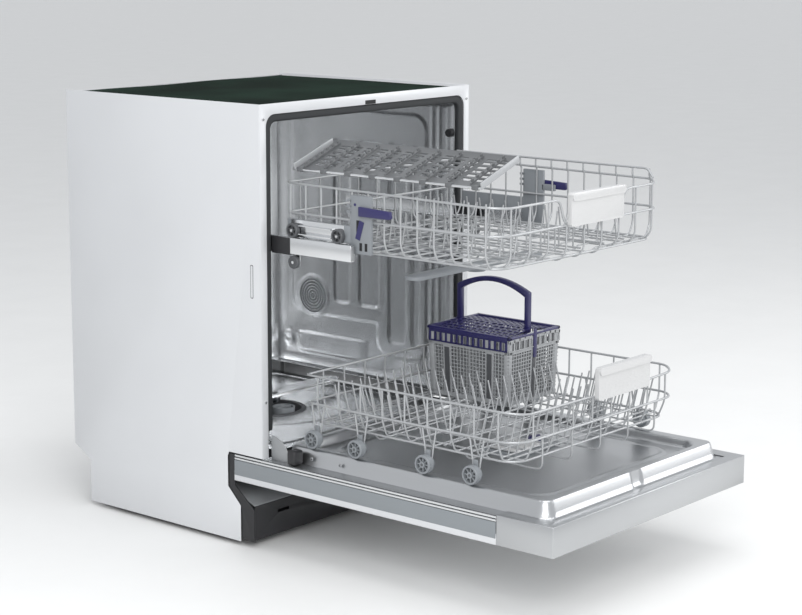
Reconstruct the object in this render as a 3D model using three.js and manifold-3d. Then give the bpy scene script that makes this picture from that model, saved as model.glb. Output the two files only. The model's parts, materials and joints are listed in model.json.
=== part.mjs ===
// Built-in dishwasher, 60 cm wide, standing open: door down, both racks pulled out.
// Millimetres. X is the width, -Y is the front, +Z is up, and the floor is Z = 0.
// Y = 0 is the face of the front frame that the closed door would meet.
import * as THREE from "three";
import { mergeVertices } from "three/addons/utils/BufferGeometryUtils.js";
import Module from "manifold-3d";

const wasm = await Module();
wasm.setup();

// ---- driving dimensions ----------------------------------------------------
const WIDTH = 598; // outside width of the cabinet
const HEIGHT = 817; // floor to the top edge of the side panels
const DEPTH = 515; // front frame to the back edge of the cabinet
const SHEET = 1.5; // sheet steel of panels, tub and frame
const GAP = 0.3; // between pieces that rest on each other
const PANEL_BOTTOM = 8; // lower edge of the side panels
const TOE_HEIGHT = 76; // top of the recessed plinth zone
const TOE_SETBACK = 58; // plinth front behind the front frame
const NOTCH_DEPTH = 90; // side panel is cut back here for the door hinge
const DOOR_SILL = 174; // lower end of the front frame's legs
const REAR_STEP = 45; // the lower back is stepped in for the hoses
const REAR_STEP_HEIGHT = 92;

const FRAME_FACE = 16; // width of the frame's two legs
const FRAME_TOP = 19; // height of the frame's top bar
const TUB_HALF = WIDTH / 2 - 27; // inside half width of the tub
const TUB_FRONT = 13; // the tub's front lip behind the frame face
const TUB_BACK = DEPTH - 15; // inside of the tub's back wall
const TUB_CEILING = HEIGHT - 28;
const TUB_FLOOR = 172;
const TRACK_Z = 200.5; // ledge and door rim that the lower rack rolls on
const TRACK_WIDTH = 26;

const HINGE_Y = -6; // door hinge axis
const HINGE_Z = 170;
const DOOR_LENGTH = 639; // hinge axis to the door's outer end
const DOOR_TAIL = 79; // hinge axis to the door's inner end
const DOOR_SKIN_Z = 122; // underside of the lowered door
const DOOR_LIP = 19; // height of the outer panel's folded edge
const DOOR_FLANGE_Z = 172; // flange of the inner door liner
const FASCIA_LENGTH = 115;
const LINER_HALF = TUB_HALF - 5;
const LINER_DEEP = 15; // recess of the liner inside its raised rim

const RACK_LENGTH = 472;
const RACK_HALF = TUB_HALF - 26;
const WIRE = 4.4; // rim wires
const FINE_WIRE = 3.4; // filling wires
const LAP = 0.7; // the cross wires of a rack's floor are welded a little higher than the long ones

const UPPER_REAR_Y = -16;
const UPPER_RIM_Z = 676;
const UPPER_MID_Z = 622;
const UPPER_FLOOR_Z = 566;
const RAIL_TOP_Z = 581;
const RAIL_HEIGHT = 29;
const RAIL_WIDTH = 9;
const RAIL_OUT = 184; // how far the rails themselves are pulled out
const RAIL_LENGTH = 480;
const ROLLER_R = 13;

const LOWER_REAR_Y = -60;
const LOWER_RIM_Z = 331;
const LOWER_MID_Z = 280;
const LOWER_FLOOR_Z = 243;
const WHEEL_R = 16.5;
const WHEEL_WIDTH = 13;
const WHEEL_LIFT = 1.5; // free height between wheel and door rim

const BASKET_X = 150;
const BASKET_Y = -180;
const BASKET_W = 150;
const BASKET_L = 184;
const BASKET_H = 126;

const HALF = WIDTH / 2;
const ORIGIN_Y = (HINGE_Y - DOOR_LENGTH + DEPTH) / 2; // middle of the footprint, door included

// ---- solids ------------------------------------------------------------------
function solid(geometry) {
  const flat = geometry.index ? geometry.toNonIndexed() : geometry.clone();
  flat.deleteAttribute("normal");
  flat.deleteAttribute("uv");
  const merged = mergeVertices(flat, 1e-4);
  return new wasm.Manifold(new wasm.Mesh({
    numProp: 3,
    vertProperties: new Float32Array(merged.attributes.position.array),
    triVerts: new Uint32Array(merged.index.array),
  }));
}

function shell(manifold) {
  const mesh = manifold.getMesh();
  const geometry = new THREE.BufferGeometry();
  geometry.setAttribute("position", new THREE.BufferAttribute(mesh.vertProperties, 3));
  geometry.setIndex(new THREE.BufferAttribute(mesh.triVerts, 1));
  const flat = geometry.toNonIndexed();
  flat.computeVertexNormals();
  return flat;
}

function block(x0, x1, y0, y1, z0, z1) {
  const geometry = new THREE.BoxGeometry(x1 - x0, y1 - y0, z1 - z0);
  geometry.translate((x0 + x1) / 2, (y0 + y1) / 2, (z0 + z1) / 2);
  return solid(geometry);
}

function join(pieces) {
  let whole = pieces[0];
  for (const piece of pieces.slice(1)) {
    whole = whole.add(piece);
  }
  return whole;
}

function cut(body, pieces) {
  let rest = body;
  for (const piece of pieces) {
    rest = rest.subtract(piece);
  }
  return rest;
}

function outline(points) {
  return new THREE.Shape(points.map(([a, b]) => new THREE.Vector2(a, b)));
}

// A (Y, Z) outline given thickness from X = x0 to x1.
function acrossX(points, x0, x1) {
  const geometry = new THREE.ExtrudeGeometry(outline(points), { depth: x1 - x0, bevelEnabled: false });
  geometry.rotateX(Math.PI / 2);
  geometry.rotateZ(Math.PI / 2);
  geometry.translate(x0, 0, 0);
  return solid(geometry);
}

// An (X, Z) outline given thickness from Y = y0 to y1.
function acrossY(shape, y0, y1, steps = 4) {
  const options = { depth: y1 - y0, bevelEnabled: false, curveSegments: steps };
  const geometry = new THREE.ExtrudeGeometry(shape, options);
  geometry.rotateX(Math.PI / 2);
  geometry.translate(0, y1, 0);
  return solid(geometry);
}

// An (X, Y) outline given thickness from Z = z0 to z1.
function acrossZ(shape, z0, z1, steps = 4) {
  const options = { depth: z1 - z0, bevelEnabled: false, curveSegments: steps };
  const geometry = new THREE.ExtrudeGeometry(shape, options);
  geometry.translate(0, 0, z0);
  return solid(geometry);
}

function roundedRect(x0, x1, y0, y1, r) {
  const shape = new THREE.Shape();
  shape.moveTo(x0 + r, y0);
  shape.lineTo(x1 - r, y0);
  shape.absarc(x1 - r, y0 + r, r, -Math.PI / 2, 0, false);
  shape.lineTo(x1, y1 - r);
  shape.absarc(x1 - r, y1 - r, r, 0, Math.PI / 2, false);
  shape.lineTo(x0 + r, y1);
  shape.absarc(x0 + r, y1 - r, r, Math.PI / 2, Math.PI, false);
  shape.lineTo(x0, y0 + r);
  shape.absarc(x0 + r, y0 + r, r, Math.PI, Math.PI * 1.5, false);
  return shape;
}

function cylinder(axis, centre, r, length, sides = 16, rEnd = r) {
  const geometry = new THREE.CylinderGeometry(rEnd, r, length, sides);
  if (axis === "x") {
    geometry.rotateZ(-Math.PI / 2);
  }
  if (axis === "z") {
    geometry.rotateX(Math.PI / 2);
  }
  geometry.translate(...centre);
  return solid(geometry);
}

// A straight four-sided wire from a to b, a little longer so that joints overlap.
function rod(a, b, size) {
  const from = new THREE.Vector3(...a);
  const to = new THREE.Vector3(...b);
  const along = to.clone().sub(from);
  const geometry = new THREE.BoxGeometry(size, size, along.length() + size * 0.9);
  const turn = new THREE.Quaternion();
  turn.setFromUnitVectors(new THREE.Vector3(0, 0, 1), along.normalize());
  geometry.applyQuaternion(turn);
  geometry.translate((a[0] + b[0]) / 2, (a[1] + b[1]) / 2, (a[2] + b[2]) / 2);
  return solid(geometry);
}

function path(points, size) {
  const rods = [];
  for (let i = 1; i < points.length; i += 1) {
    rods.push(rod(points[i - 1], points[i], size));
  }
  return rods;
}

function spread(count, from, to) {
  return Array.from({ length: count }, (_, i) => from + ((to - from) * i) / (count - 1));
}

// ---- finishes ------------------------------------------------------------------
function finish(color, roughness, metalness) {
  return new THREE.MeshStandardMaterial({ color, roughness, metalness });
}

const WHITE = finish(0xe4e6e8, 0.4, 0.2);
const STEEL = finish(0xb9bcc0, 0.3, 0.9);
const GALVANISED = finish(0x9da1a6, 0.45, 0.8);
const BLACK = finish(0x1b1c1e, 0.6, 0);
const MAT = finish(0x14211c, 0.9, 0);
const NYLON = finish(0xb4b7ba, 0.45, 0.1);
const NAVY = finish(0x2c2960, 0.4, 0);
const GREY = finish(0x8e9296, 0.5, 0);
const PALE = finish(0xd9dadb, 0.35, 0.2);

const machine = new THREE.Group();
machine.position.y = -ORIGIN_Y;

function place(name, manifold, material, position = [0, 0, 0], parent = machine) {
  const mesh = new THREE.Mesh(shell(manifold), material);
  mesh.name = name;
  mesh.position.set(...position);
  parent.add(mesh);
  return mesh;
}

// ---- cabinet -------------------------------------------------------------------
function sidePanel() {
  const points = [
    [SHEET + GAP, HEIGHT],
    [SHEET + GAP, DOOR_SILL],
    [NOTCH_DEPTH - 4, DOOR_SILL],
    [NOTCH_DEPTH, DOOR_SILL - 8],
    [NOTCH_DEPTH, TOE_HEIGHT + 32],
    [TOE_SETBACK, TOE_HEIGHT],
    [TOE_SETBACK, PANEL_BOTTOM],
    [DEPTH - REAR_STEP, PANEL_BOTTOM],
    [DEPTH - REAR_STEP, REAR_STEP_HEIGHT],
    [DEPTH, REAR_STEP_HEIGHT + 25],
    [DEPTH, HEIGHT],
  ];
  return acrossX(points, -HALF, -HALF + SHEET);
}

function frontFrame() {
  const inner = HALF - FRAME_FACE;
  const top = HEIGHT - FRAME_TOP;
  const plate = block(-HALF, HALF, 0, SHEET, DOOR_SILL, HEIGHT);
  const mouth = acrossY(roundedRect(-inner, inner, DOOR_SILL - 60, top, 22), -5, 10);
  return plate.subtract(mouth);
}

function doorSeal() {
  const outer = HALF - FRAME_FACE - GAP;
  const top = HEIGHT - FRAME_TOP - GAP;
  const low = HINGE_Z + 52;
  const band = 14;
  const body = acrossY(roundedRect(-outer, outer, low - 60, top, 21), SHEET + 0.5, TUB_FRONT - GAP);
  const mouth = acrossY(roundedRect(-outer + band, outer - band, low - 70, top - band, 14), -5, 30);
  return cut(body, [mouth, block(-HALF, HALF, -5, 30, low - 80, low)]);
}

function tubSection(wall) {
  const half = TUB_HALF + wall;
  const step = TUB_HALF - TRACK_WIDTH - wall * 0.4;
  const floor = TUB_FLOOR - wall;
  const shape = new THREE.Shape();
  const r = 26 + wall;
  shape.moveTo(-step + 10, floor);
  shape.lineTo(step - 10, floor);
  shape.lineTo(step, TRACK_Z - wall);
  shape.lineTo(half, TRACK_Z - wall);
  shape.lineTo(half, TUB_CEILING + wall - r);
  shape.absarc(half - r, TUB_CEILING + wall - r, r, 0, Math.PI / 2, false);
  shape.lineTo(-half + r, TUB_CEILING + wall);
  shape.absarc(-half + r, TUB_CEILING + wall - r, r, Math.PI / 2, Math.PI, false);
  shape.lineTo(-half, TRACK_Z - wall);
  shape.lineTo(-step, TRACK_Z - wall);
  return shape;
}

const SUMP_R = 72;
const SUMP_Y = 265;

function tub() {
  const outer = acrossY(tubSection(SHEET), TUB_FRONT, TUB_BACK + SHEET);
  const lip = acrossY(tubSection(6), TUB_FRONT, TUB_FRONT + SHEET);
  const hollow = acrossY(tubSection(0), TUB_FRONT - 5, TUB_BACK);
  const drain = cylinder("z", [0, SUMP_Y, TUB_FLOOR], SUMP_R + GAP, 30, 24);
  return cut(outer.add(lip), [hollow, drain]);
}

function sump() {
  const cup = cylinder("z", [0, SUMP_Y, TUB_FLOOR - 32], SUMP_R - 6, 64, 24);
  const collar = cylinder("z", [0, SUMP_Y, TUB_FLOOR], SUMP_R - 0.4, 5, 24);
  const hollow = cylinder("z", [0, SUMP_Y, TUB_FLOOR - 20], SUMP_R - 10, 60, 24);
  const hub = cylinder("z", [0, SUMP_Y, TUB_FLOOR - 26], 8, 72, 12);
  return cup.add(collar).subtract(hollow).add(hub);
}

function filterCup() {
  const wall = cylinder("z", [0, 0, 0], 21, 60, 20, 23);
  const hollow = cylinder("z", [0, 0, 4], 18, 60, 20, 20);
  const grip = block(-20.5, 20.5, -2, 2, 22, 29);
  return wall.subtract(hollow).add(grip);
}

function vent() {
  const plate = cylinder("x", [0, 0, 0], 37, 2.6, 28);
  const ribs = [-20, -10, 0, 10, 20].map((y) => block(-2.4, 0.6, -22, 22, y - 1.5, y + 1.5));
  return join([plate, ...ribs]);
}

function topMat() {
  return block(-HALF + 9, HALF - 9, 14, DEPTH - 10, TUB_CEILING + SHEET + 8, HEIGHT - 3);
}

function rearPanel() {
  const inset = SHEET + GAP;
  return block(-HALF + inset, HALF - inset, DEPTH - 9, DEPTH - 7.5, REAR_STEP_HEIGHT + 30, HEIGHT - 4);
}

function basePan() {
  const inset = SHEET + GAP + 12;
  const back = DEPTH - REAR_STEP - 4;
  const outer = block(-HALF + inset, HALF - inset, TOE_SETBACK + 6, back, 12, TOE_HEIGHT - 2);
  const hollow = block(-HALF + inset + 3, HALF - inset - 3, TOE_SETBACK + 9, back - 3, 15, 120);
  return outer.subtract(hollow);
}

function toePlate() {
  const half = HALF - 12;
  const y = TOE_SETBACK - 26;
  const plate = block(-half, half, y, y + 2, 12, TOE_HEIGHT);
  const shelf = block(-half, half, y, TOE_SETBACK + 5.5, TOE_HEIGHT - 2, TOE_HEIGHT);
  const slot = roundedRect(-half + 60, -half + 92, 52, 58, 2);
  return cut(plate.add(shelf), [acrossY(slot, y - 5, y + 5)]);
}

function sillPlate() {
  const half = HALF - 12;
  const y = TOE_SETBACK - 26;
  const points = [
    [y + 1, TOE_HEIGHT + GAP],
    [y + 4, TOE_HEIGHT + GAP],
    [NOTCH_DEPTH + 14, TOE_HEIGHT + 28],
    [NOTCH_DEPTH + 14, TOE_HEIGHT + 31],
    [NOTCH_DEPTH + 12, TOE_HEIGHT + 31],
    [y + 1, TOE_HEIGHT + 2],
  ];
  return acrossX(points, -half, half);
}

function hingeBracket() {
  const points = [
    [NOTCH_DEPTH - 1, DOOR_SILL - 3],
    [SKIRT_BACK + 4, DOOR_SILL - 3],
    [SKIRT_BACK + 4, DOOR_SKIN_Z + DOOR_LIP + 2],
    [DOOR_BACK + 2, DOOR_SKIN_Z + DOOR_LIP + 2],
    [DOOR_BACK + 2, 112],
    [26, 72],
    [26, 12],
    [TOE_SETBACK - 1, 12],
    [TOE_SETBACK - 1, TOE_HEIGHT - 6],
    [NOTCH_DEPTH - 1, TOE_HEIGHT + 28],
  ];
  return acrossX(points, -HALF + 2, -HALF + 6);
}

function foot() {
  const pad = cylinder("z", [0, 0, 3], 17, 6, 16);
  const stem = cylinder("z", [0, 0, 8.7], 6, 6, 10);
  return pad.add(stem);
}

function circulationPump() {
  const body = cylinder("x", [0, 0, 0], 32, 110, 18);
  const head = cylinder("x", [64, 0, 0], 26, 22, 18);
  return join([body, head]);
}

function softener() {
  const body = block(-60, 60, -70, 70, 0, 66);
  const neck = cylinder("z", [0, 0, 72], 26, 14, 18);
  return body.add(neck);
}

function latchSocket() {
  return block(-24, 24, 0, 10, -4.5, 4.5).add(block(-12, 12, 0, 4, -6, 2));
}

// A straight spray arm with round ends, a hub below and rows of nozzles above.
function sprayArm(halfLength, width, height, hubDrop) {
  const bar = acrossZ(roundedRect(-halfLength, halfLength, -width / 2, width / 2, width / 2 - 1), 0, height);
  const hub = cylinder("z", [0, 0, -hubDrop / 2 + 1], 18, hubDrop, 16, 22);
  const dome = cylinder("z", [0, 0, height], 20, 6, 16, 12);
  return join([bar, hub, dome]);
}

// ---- door ------------------------------------------------------------------------
const DOOR_END = HINGE_Y - DOOR_LENGTH;
const DOOR_BACK = HINGE_Y + DOOR_TAIL;
const PANEL_END = DOOR_END + FASCIA_LENGTH;
const SKIRT_BACK = 48; // the inner door's side skirts end in front of the hinge bracket

function doorPanel() {
  const outer = block(-HALF, HALF, PANEL_END + GAP, DOOR_BACK, DOOR_SKIN_Z, DOOR_SKIN_Z + DOOR_LIP);
  const hollow = block(-HALF + 2, HALF - 2, PANEL_END + 2, DOOR_BACK - 2, DOOR_SKIN_Z + 2, DOOR_SKIN_Z + 80);
  return outer.subtract(hollow);
}

function fascia() {
  const top = DOOR_FLANGE_Z + 2;
  const outer = block(-HALF, HALF, DOOR_END, PANEL_END, DOOR_SKIN_Z, top);
  const hollow = block(-HALF + 2, HALF - 2, DOOR_END + 2, PANEL_END + 5, DOOR_SKIN_Z + 2, top - 2);
  const opening = block(-HALF + 30, HALF - 30, DOOR_END + 24, PANEL_END + 5, top - 5, top + 5);
  const holes = BUTTON_X.map((x) => block(x - 13, x + 13, BUTTON_Y - 6, BUTTON_Y + 6, DOOR_SKIN_Z - 5, DOOR_SKIN_Z + 5));
  return cut(outer, [hollow, opening, ...holes]);
}

function liner() {
  const rimTop = TRACK_Z;
  const low = DOOR_SKIN_Z + DOOR_LIP + GAP;
  const front = DOOR_END + 24 + GAP;
  const back = HINGE_Y - 14;
  const skirtHalf = HALF - 3;
  const flange = block(-skirtHalf, skirtHalf, PANEL_END + 2, TUB_FRONT - 4, low, DOOR_FLANGE_Z);
  const skirts = [-1, 1].map((side) => {
    const x = side * (skirtHalf - 1);
    return block(x - 1, x + 1, TUB_FRONT - 6, SKIRT_BACK, low, DOOR_FLANGE_Z);
  });
  const nose = block(-HALF + 30 + GAP, HALF - 30 - GAP, front, PANEL_END + 3, DOOR_FLANGE_Z - 5, DOOR_FLANGE_Z + 4);
  const raised = acrossZ(roundedRect(-LINER_HALF, LINER_HALF, front + 1, back, 16), DOOR_FLANGE_Z - 5, rimTop);
  const recess = acrossZ(
    roundedRect(-LINER_HALF + 32, LINER_HALF - 32, front + 26, back - 22, 20), rimTop - LINER_DEEP, rimTop + 5);
  const under = block(-skirtHalf + 2, skirtHalf - 2, PANEL_END - 5, TUB_FRONT - 6, low - 5, DOOR_FLANGE_Z - 2);
  const belly = acrossZ(
    roundedRect(-LINER_HALF + 2, LINER_HALF - 2, front + 3, back - 2, 14), DOOR_FLANGE_Z - 8, rimTop - LINER_DEEP - 2);
  const pocket = block(DISPENSER_X - 71, DISPENSER_X + 71, DISPENSER_Y - 46, DISPENSER_Y + 46, 150, 195);
  const strike = block(-14, 14, front - 5, front + 14, DOOR_FLANGE_Z + 6, rimTop + 5);
  return cut(join([flange, nose, raised, ...skirts]), [recess, under, belly, pocket, strike]);
}

function hingeArm() {
  const r = 45;
  const shape = new THREE.Shape();
  shape.moveTo(-30, 0);
  shape.lineTo(0, 0);
  shape.lineTo(0, r);
  shape.absarc(0, 0, r, Math.PI / 2, Math.PI, false);
  const steps = 8;
  const geometry = new THREE.ExtrudeGeometry(shape, { depth: 1.5, bevelEnabled: false, curveSegments: steps });
  geometry.rotateX(Math.PI / 2);
  geometry.rotateZ(Math.PI / 2);
  return solid(geometry);
}

const DISPENSER_X = 40;
const DISPENSER_Y = -330;

function dispenserBody() {
  const plate = acrossZ(roundedRect(-68, 68, -43, 43, 10), 0, 5);
  const box = block(-64, 64, -39, 39, -26, 2);
  const soap = block(-56, 16, -30, 30, -20, 20);
  return plate.add(box).subtract(soap);
}

function dispenserLid() {
  return acrossZ(roundedRect(-38, 38, -33, 33, 8), 0, 5).add(block(22, 30, -12, 12, 4, 8));
}

function rinseCap() {
  return cylinder("z", [0, 0, 3], 17, 6, 20).add(block(-14, 14, -2.5, 2.5, 5, 9));
}

const BUTTON_Y = DOOR_END + 42;
const BUTTON_X = [-230, 230];

function button() {
  return block(-11.5, 11.5, -4.8, 4.8, -1.5, 7).add(block(-12.6, 12.6, -5.8, 5.8, 5, 7));
}

// ---- upper rack -----------------------------------------------------------------------
function ring(halfX, y0, y1, z, corner, size) {
  const points = [
    [-halfX, y1, z], [-halfX, y0 + corner, z], [-halfX + corner, y0, z],
    [halfX - corner, y0, z], [halfX, y0 + corner, z], [halfX, y1, z], [-halfX, y1, z],
  ];
  const weld = (point, i) => [point[0], point[1], point[2] + (i % 2) * LAP * 0.6];
  return points.slice(1).map((point, i) => rod(weld(points[i], i), weld(point, i), size));
}

function rackSides(halfX, y0, y1, zLow, zHigh, count, size) {
  const rods = [];
  for (const y of spread(count, y0 + 26, y1 - 12)) {
    for (const x of [-halfX, halfX]) {
      rods.push(rod([x, y, zLow], [x, y, zHigh], size));
    }
  }
  return rods;
}

function rackEnds(halfX, y0, y1, zLow, zHigh, count, size) {
  const rods = [];
  for (const x of spread(count, -halfX + 40, halfX - 40)) {
    for (const y of [y0, y1]) {
      rods.push(rod([x, y, zLow], [x, y, zHigh], size));
    }
  }
  return rods;
}

function rackFloor(halfX, y0, y1, z, across, along, size) {
  const rods = [];
  for (const y of spread(across, y0 + 26, y1 - 12)) {
    rods.push(rod([-halfX, y, z + LAP], [halfX, y, z + LAP], size));
  }
  for (const x of spread(along, -halfX + 40, halfX - 40)) {
    rods.push(rod([x, y0, z], [x, y1, z], size));
  }
  return rods;
}

function upperRack() {
  const y1 = UPPER_REAR_Y;
  const y0 = y1 - RACK_LENGTH;
  return join([
    ...ring(RACK_HALF, y0, y1, UPPER_RIM_Z, 24, WIRE),
    ...ring(RACK_HALF, y0, y1, UPPER_MID_Z, 24, WIRE),
    ...ring(RACK_HALF, y0, y1, UPPER_FLOOR_Z, 24, WIRE),
    ...rackSides(RACK_HALF, y0, y1, UPPER_FLOOR_Z, UPPER_RIM_Z, 6, FINE_WIRE),
    ...rackEnds(RACK_HALF, y0, y1, UPPER_FLOOR_Z, UPPER_RIM_Z, 5, FINE_WIRE),
    ...rackFloor(RACK_HALF, y0, y1, UPPER_FLOOR_Z, 6, 5, FINE_WIRE),
    rod([0, UPPER_ARM_Y - 20, UPPER_FLOOR_Z], [0, UPPER_ARM_Y + 20, UPPER_FLOOR_Z], 16),
    cylinder("z", [0, UPPER_ARM_Y, UPPER_FLOOR_Z - 14], 9, 28, 10),
  ]);
}

const UPPER_ARM_Y = UPPER_REAR_Y - RACK_LENGTH / 2;

// A rail is a channel that opens towards the rack.
function rail() {
  const z1 = RAIL_TOP_Z;
  const z0 = z1 - RAIL_HEIGHT;
  const outer = block(0, RAIL_WIDTH, 0, RAIL_LENGTH, z0, z1);
  const hollow = block(2, RAIL_WIDTH + 5, 4, RAIL_LENGTH + 5, z0 + 2.5, z1 - 2.5);
  return outer.subtract(hollow);
}

const CARRIER_INNER = RACK_HALF + WIRE / 2 + GAP;
const RAIL_X = RACK_HALF + 11;

// The plate that carries the rollers, with the height adjuster's housing in front of it.
function carrier() {
  const plate = block(0, 3, -150, 0, RAIL_TOP_Z - RAIL_HEIGHT - 22, RAIL_TOP_Z + 22);
  const housing = block(0, 6, -196, -152, UPPER_FLOOR_Z - 4, UPPER_RIM_Z - 8);
  const bridge = block(0, 3, -156, -140, RAIL_TOP_Z - 20, RAIL_TOP_Z + 10);
  const mouth = block(-5, 10, -192, -176, UPPER_FLOOR_Z + 20, UPPER_FLOOR_Z + 44);
  return cut(join([plate, housing, bridge]), [mouth]);
}

function roller() {
  const tyre = cylinder("x", [0, 0, 0], ROLLER_R, 8, 16);
  const groove = cylinder("x", [3.5, 0, 0], ROLLER_R - 5, 3, 12);
  const pin = cylinder("x", [3, 0, 0], 3, 5, 8);
  return tyre.subtract(groove).add(pin);
}

function lever() {
  const points = [[0, 0], [-72, -3], [-74, -14], [-70, -17], [0, -17]];
  return acrossX(points, 0, 6);
}

const SHELF_WIDTH = 118;
const SHELF_LENGTH = 424;
const SHELF_TILT = 20;

// The folding cup shelf: a slotted plate with raised end walls, hinged on its left edge.
function cupShelf() {
  const plate = block(4, SHELF_WIDTH, -SHELF_LENGTH, 0, 0, 5);
  const spine = cylinder("y", [4, -SHELF_LENGTH / 2, 2], 4, SHELF_LENGTH, 8);
  const walls = [-SHELF_LENGTH, -4].map((y) => block(4, SHELF_WIDTH + 4, y, y + 4, -2, 18));
  const slots = [];
  for (const y of spread(7, -SHELF_LENGTH + 40, -40)) {
    for (const x of [36, 72, 104]) {
      slots.push(block(x - 11, x + 11, y - 18, y + 18, -5, 10));
    }
  }
  return cut(join([plate, spine, ...walls]), slots);
}

function rackHandle(width) {
  const plate = acrossY(roundedRect(-width / 2, width / 2, -29, 25, 5), -5, 4);
  const grip = acrossY(roundedRect(-width / 2, width / 2, 15, 29, 6), -9, 4);
  const finger = block(-width / 2 + 8, width / 2 - 8, -1, 10, -24, 12);
  return cut(plate.add(grip), [finger]);
}

// ---- lower rack --------------------------------------------------------------------------
function wheelSpots() {
  const rear = LOWER_REAR_Y - 27;
  const reach = RACK_LENGTH - 112; // rear wheel to front wheel
  return [0, 103, reach - 103, reach].map((back) => rear - back);
}

const WHEEL_Z = TRACK_Z + WHEEL_LIFT + WHEEL_R;
const WHEEL_X = RACK_HALF + 12.5;

function lowerRack() {
  const y1 = LOWER_REAR_Y;
  const y0 = y1 - RACK_LENGTH;
  const hangers = [];
  for (const y of wheelSpots()) {
    for (const side of [-1, 1]) {
      const x = side * (RACK_HALF - 1.3);
      hangers.push(rod([x, y, LOWER_MID_Z - 8], [x, y, WHEEL_Z], 8));
      hangers.push(rod([x, y, WHEEL_Z + 0.6], [x + side * 7, y, WHEEL_Z + 0.6], 5));
    }
  }
  return join([
    ...ring(RACK_HALF, y0, y1, LOWER_RIM_Z, 24, WIRE),
    ...ring(RACK_HALF, y0, y1, LOWER_MID_Z, 24, WIRE),
    ...ring(RACK_HALF, y0, y1, LOWER_FLOOR_Z, 24, WIRE),
    ...rackSides(RACK_HALF, y0, y1, LOWER_FLOOR_Z, LOWER_RIM_Z, 6, FINE_WIRE),
    ...rackEnds(RACK_HALF, y0, y1, LOWER_FLOOR_Z, LOWER_RIM_Z, 5, FINE_WIRE),
    ...rackFloor(RACK_HALF, y0, y1, LOWER_FLOOR_Z, 6, 5, FINE_WIRE),
    ...hangers,
  ]);
}

function wheel() {
  const tyre = cylinder("x", [0, 0, 0], WHEEL_R, WHEEL_WIDTH, 18);
  const dish = cylinder("x", [4.5, 0, 0], WHEEL_R - 4, 6, 12);
  const bore = cylinder("x", [-4.5, 0, 0], 5, 10, 8);
  const boss = cylinder("x", [3, 0, 0], 5, 6, 8);
  return tyre.subtract(dish).add(boss).subtract(bore);
}

function taperedBox(w0, l0, w1, l1, height) {
  const geometry = new THREE.BoxGeometry(1, 1, height);
  const points = geometry.attributes.position;
  for (let i = 0; i < points.count; i += 1) {
    const high = points.getZ(i) > 0;
    points.setX(i, points.getX(i) * (high ? w1 : w0));
    points.setY(i, points.getY(i) * (high ? l1 : l0));
  }
  geometry.translate(0, 0, height / 2);
  return solid(geometry);
}

const BASKET_FLARE = 10;

function basket() {
  const wall = 2.4;
  const outer = taperedBox(BASKET_W, BASKET_L, BASKET_W + BASKET_FLARE, BASKET_L + BASKET_FLARE, BASKET_H);
  const hollow = taperedBox(
    BASKET_W - 2 * wall, BASKET_L - 2 * wall,
    BASKET_W + BASKET_FLARE - 2 * wall, BASKET_L + BASKET_FLARE - 2 * wall, BASKET_H);
  const slots = [];
  for (const x of spread(3, -48, 48)) {
    slots.push(block(x - 13, x + 13, -150, 150, 20, 92));
  }
  for (const y of spread(4, -66, 66)) {
    slots.push(block(-150, 150, y - 12, y + 12, 20, 92));
  }
  const inside = hollow.translate([0, 0, wall]);
  return cut(outer, [inside, ...slots]);
}

// The lid rises to a low ridge along the basket and carries the arched handle.
function basketLid() {
  const w = BASKET_W + BASKET_FLARE;
  const l = BASKET_L + BASKET_FLARE;
  const shape = outline([
    [-w / 2, 0], [w / 2, 0], [w / 2, 3], [6, 13], [-6, 13], [-w / 2, 3],
  ]);
  const roof = acrossY(shape, -l / 2, l / 2);
  const under = acrossY(outline([[-w / 2 + 6, -5], [w / 2 - 6, -5], [w / 2 - 8, 1], [0, 9], [-w / 2 + 8, 1]]),
    -l / 2 + 4, l / 2 - 4);
  const holes = [];
  for (const y of spread(6, -l / 2 + 24, l / 2 - 24)) {
    for (const x of [-56, -32, 32, 56]) {
      holes.push(cylinder("z", [x, y, 5], 8.5, 40, 6));
    }
  }
  const legTop = 74;
  const legs = [-1, 1].map((side) => block(-8, 8, side > 0 ? l / 2 - 9 : -l / 2, side > 0 ? l / 2 : -l / 2 + 9, 8, legTop));
  const arc = [];
  for (const t of spread(7, 0, Math.PI)) {
    arc.push([0, (l / 2 - 4.5) * Math.cos(t), legTop - 2 + 24 * Math.sin(t)]);
  }
  const handle = path(arc, 9);
  return cut(roof, [under, ...holes]).add(join([...legs, ...handle]));
}

// ---- assembly -----------------------------------------------------------------------------
const left = sidePanel();
place("side_panel_left", left, WHITE);
place("side_panel_right", left.mirror([1, 0, 0]), WHITE);
place("front_frame", frontFrame(), WHITE);
place("door_seal", doorSeal(), BLACK);
place("tub", tub(), STEEL);
place("sump", sump(), BLACK);
place("filter_cup", filterCup(), GREY, [0, SUMP_Y - 36, TUB_FLOOR - 19.5]);
place("vent_cover", vent(), GREY, [TUB_HALF - 1.7, 393, 350]);
place("top_mat", topMat(), MAT);
place("rear_panel", rearPanel(), GALVANISED);
place("base_pan", basePan(), BLACK);
place("toe_plate", toePlate(), BLACK);
place("sill_plate", sillPlate(), GALVANISED);
place("latch_socket", latchSocket(), BLACK, [0, SHEET + 0.5, HEIGHT - FRAME_TOP + 6]);

const bracket = hingeBracket();
place("hinge_bracket_left", bracket, BLACK);
place("hinge_bracket_right", bracket.mirror([1, 0, 0]), BLACK);

const footSpots = {
  foot_front_left: [-250, TOE_SETBACK + 24],
  foot_front_right: [250, TOE_SETBACK + 24],
  foot_rear_left: [-250, DEPTH - REAR_STEP - 40],
  foot_rear_right: [250, DEPTH - REAR_STEP - 40],
};
for (const [name, [x, y]] of Object.entries(footSpots)) {
  place(name, foot(), BLACK, [x, y, 0]);
}

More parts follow.
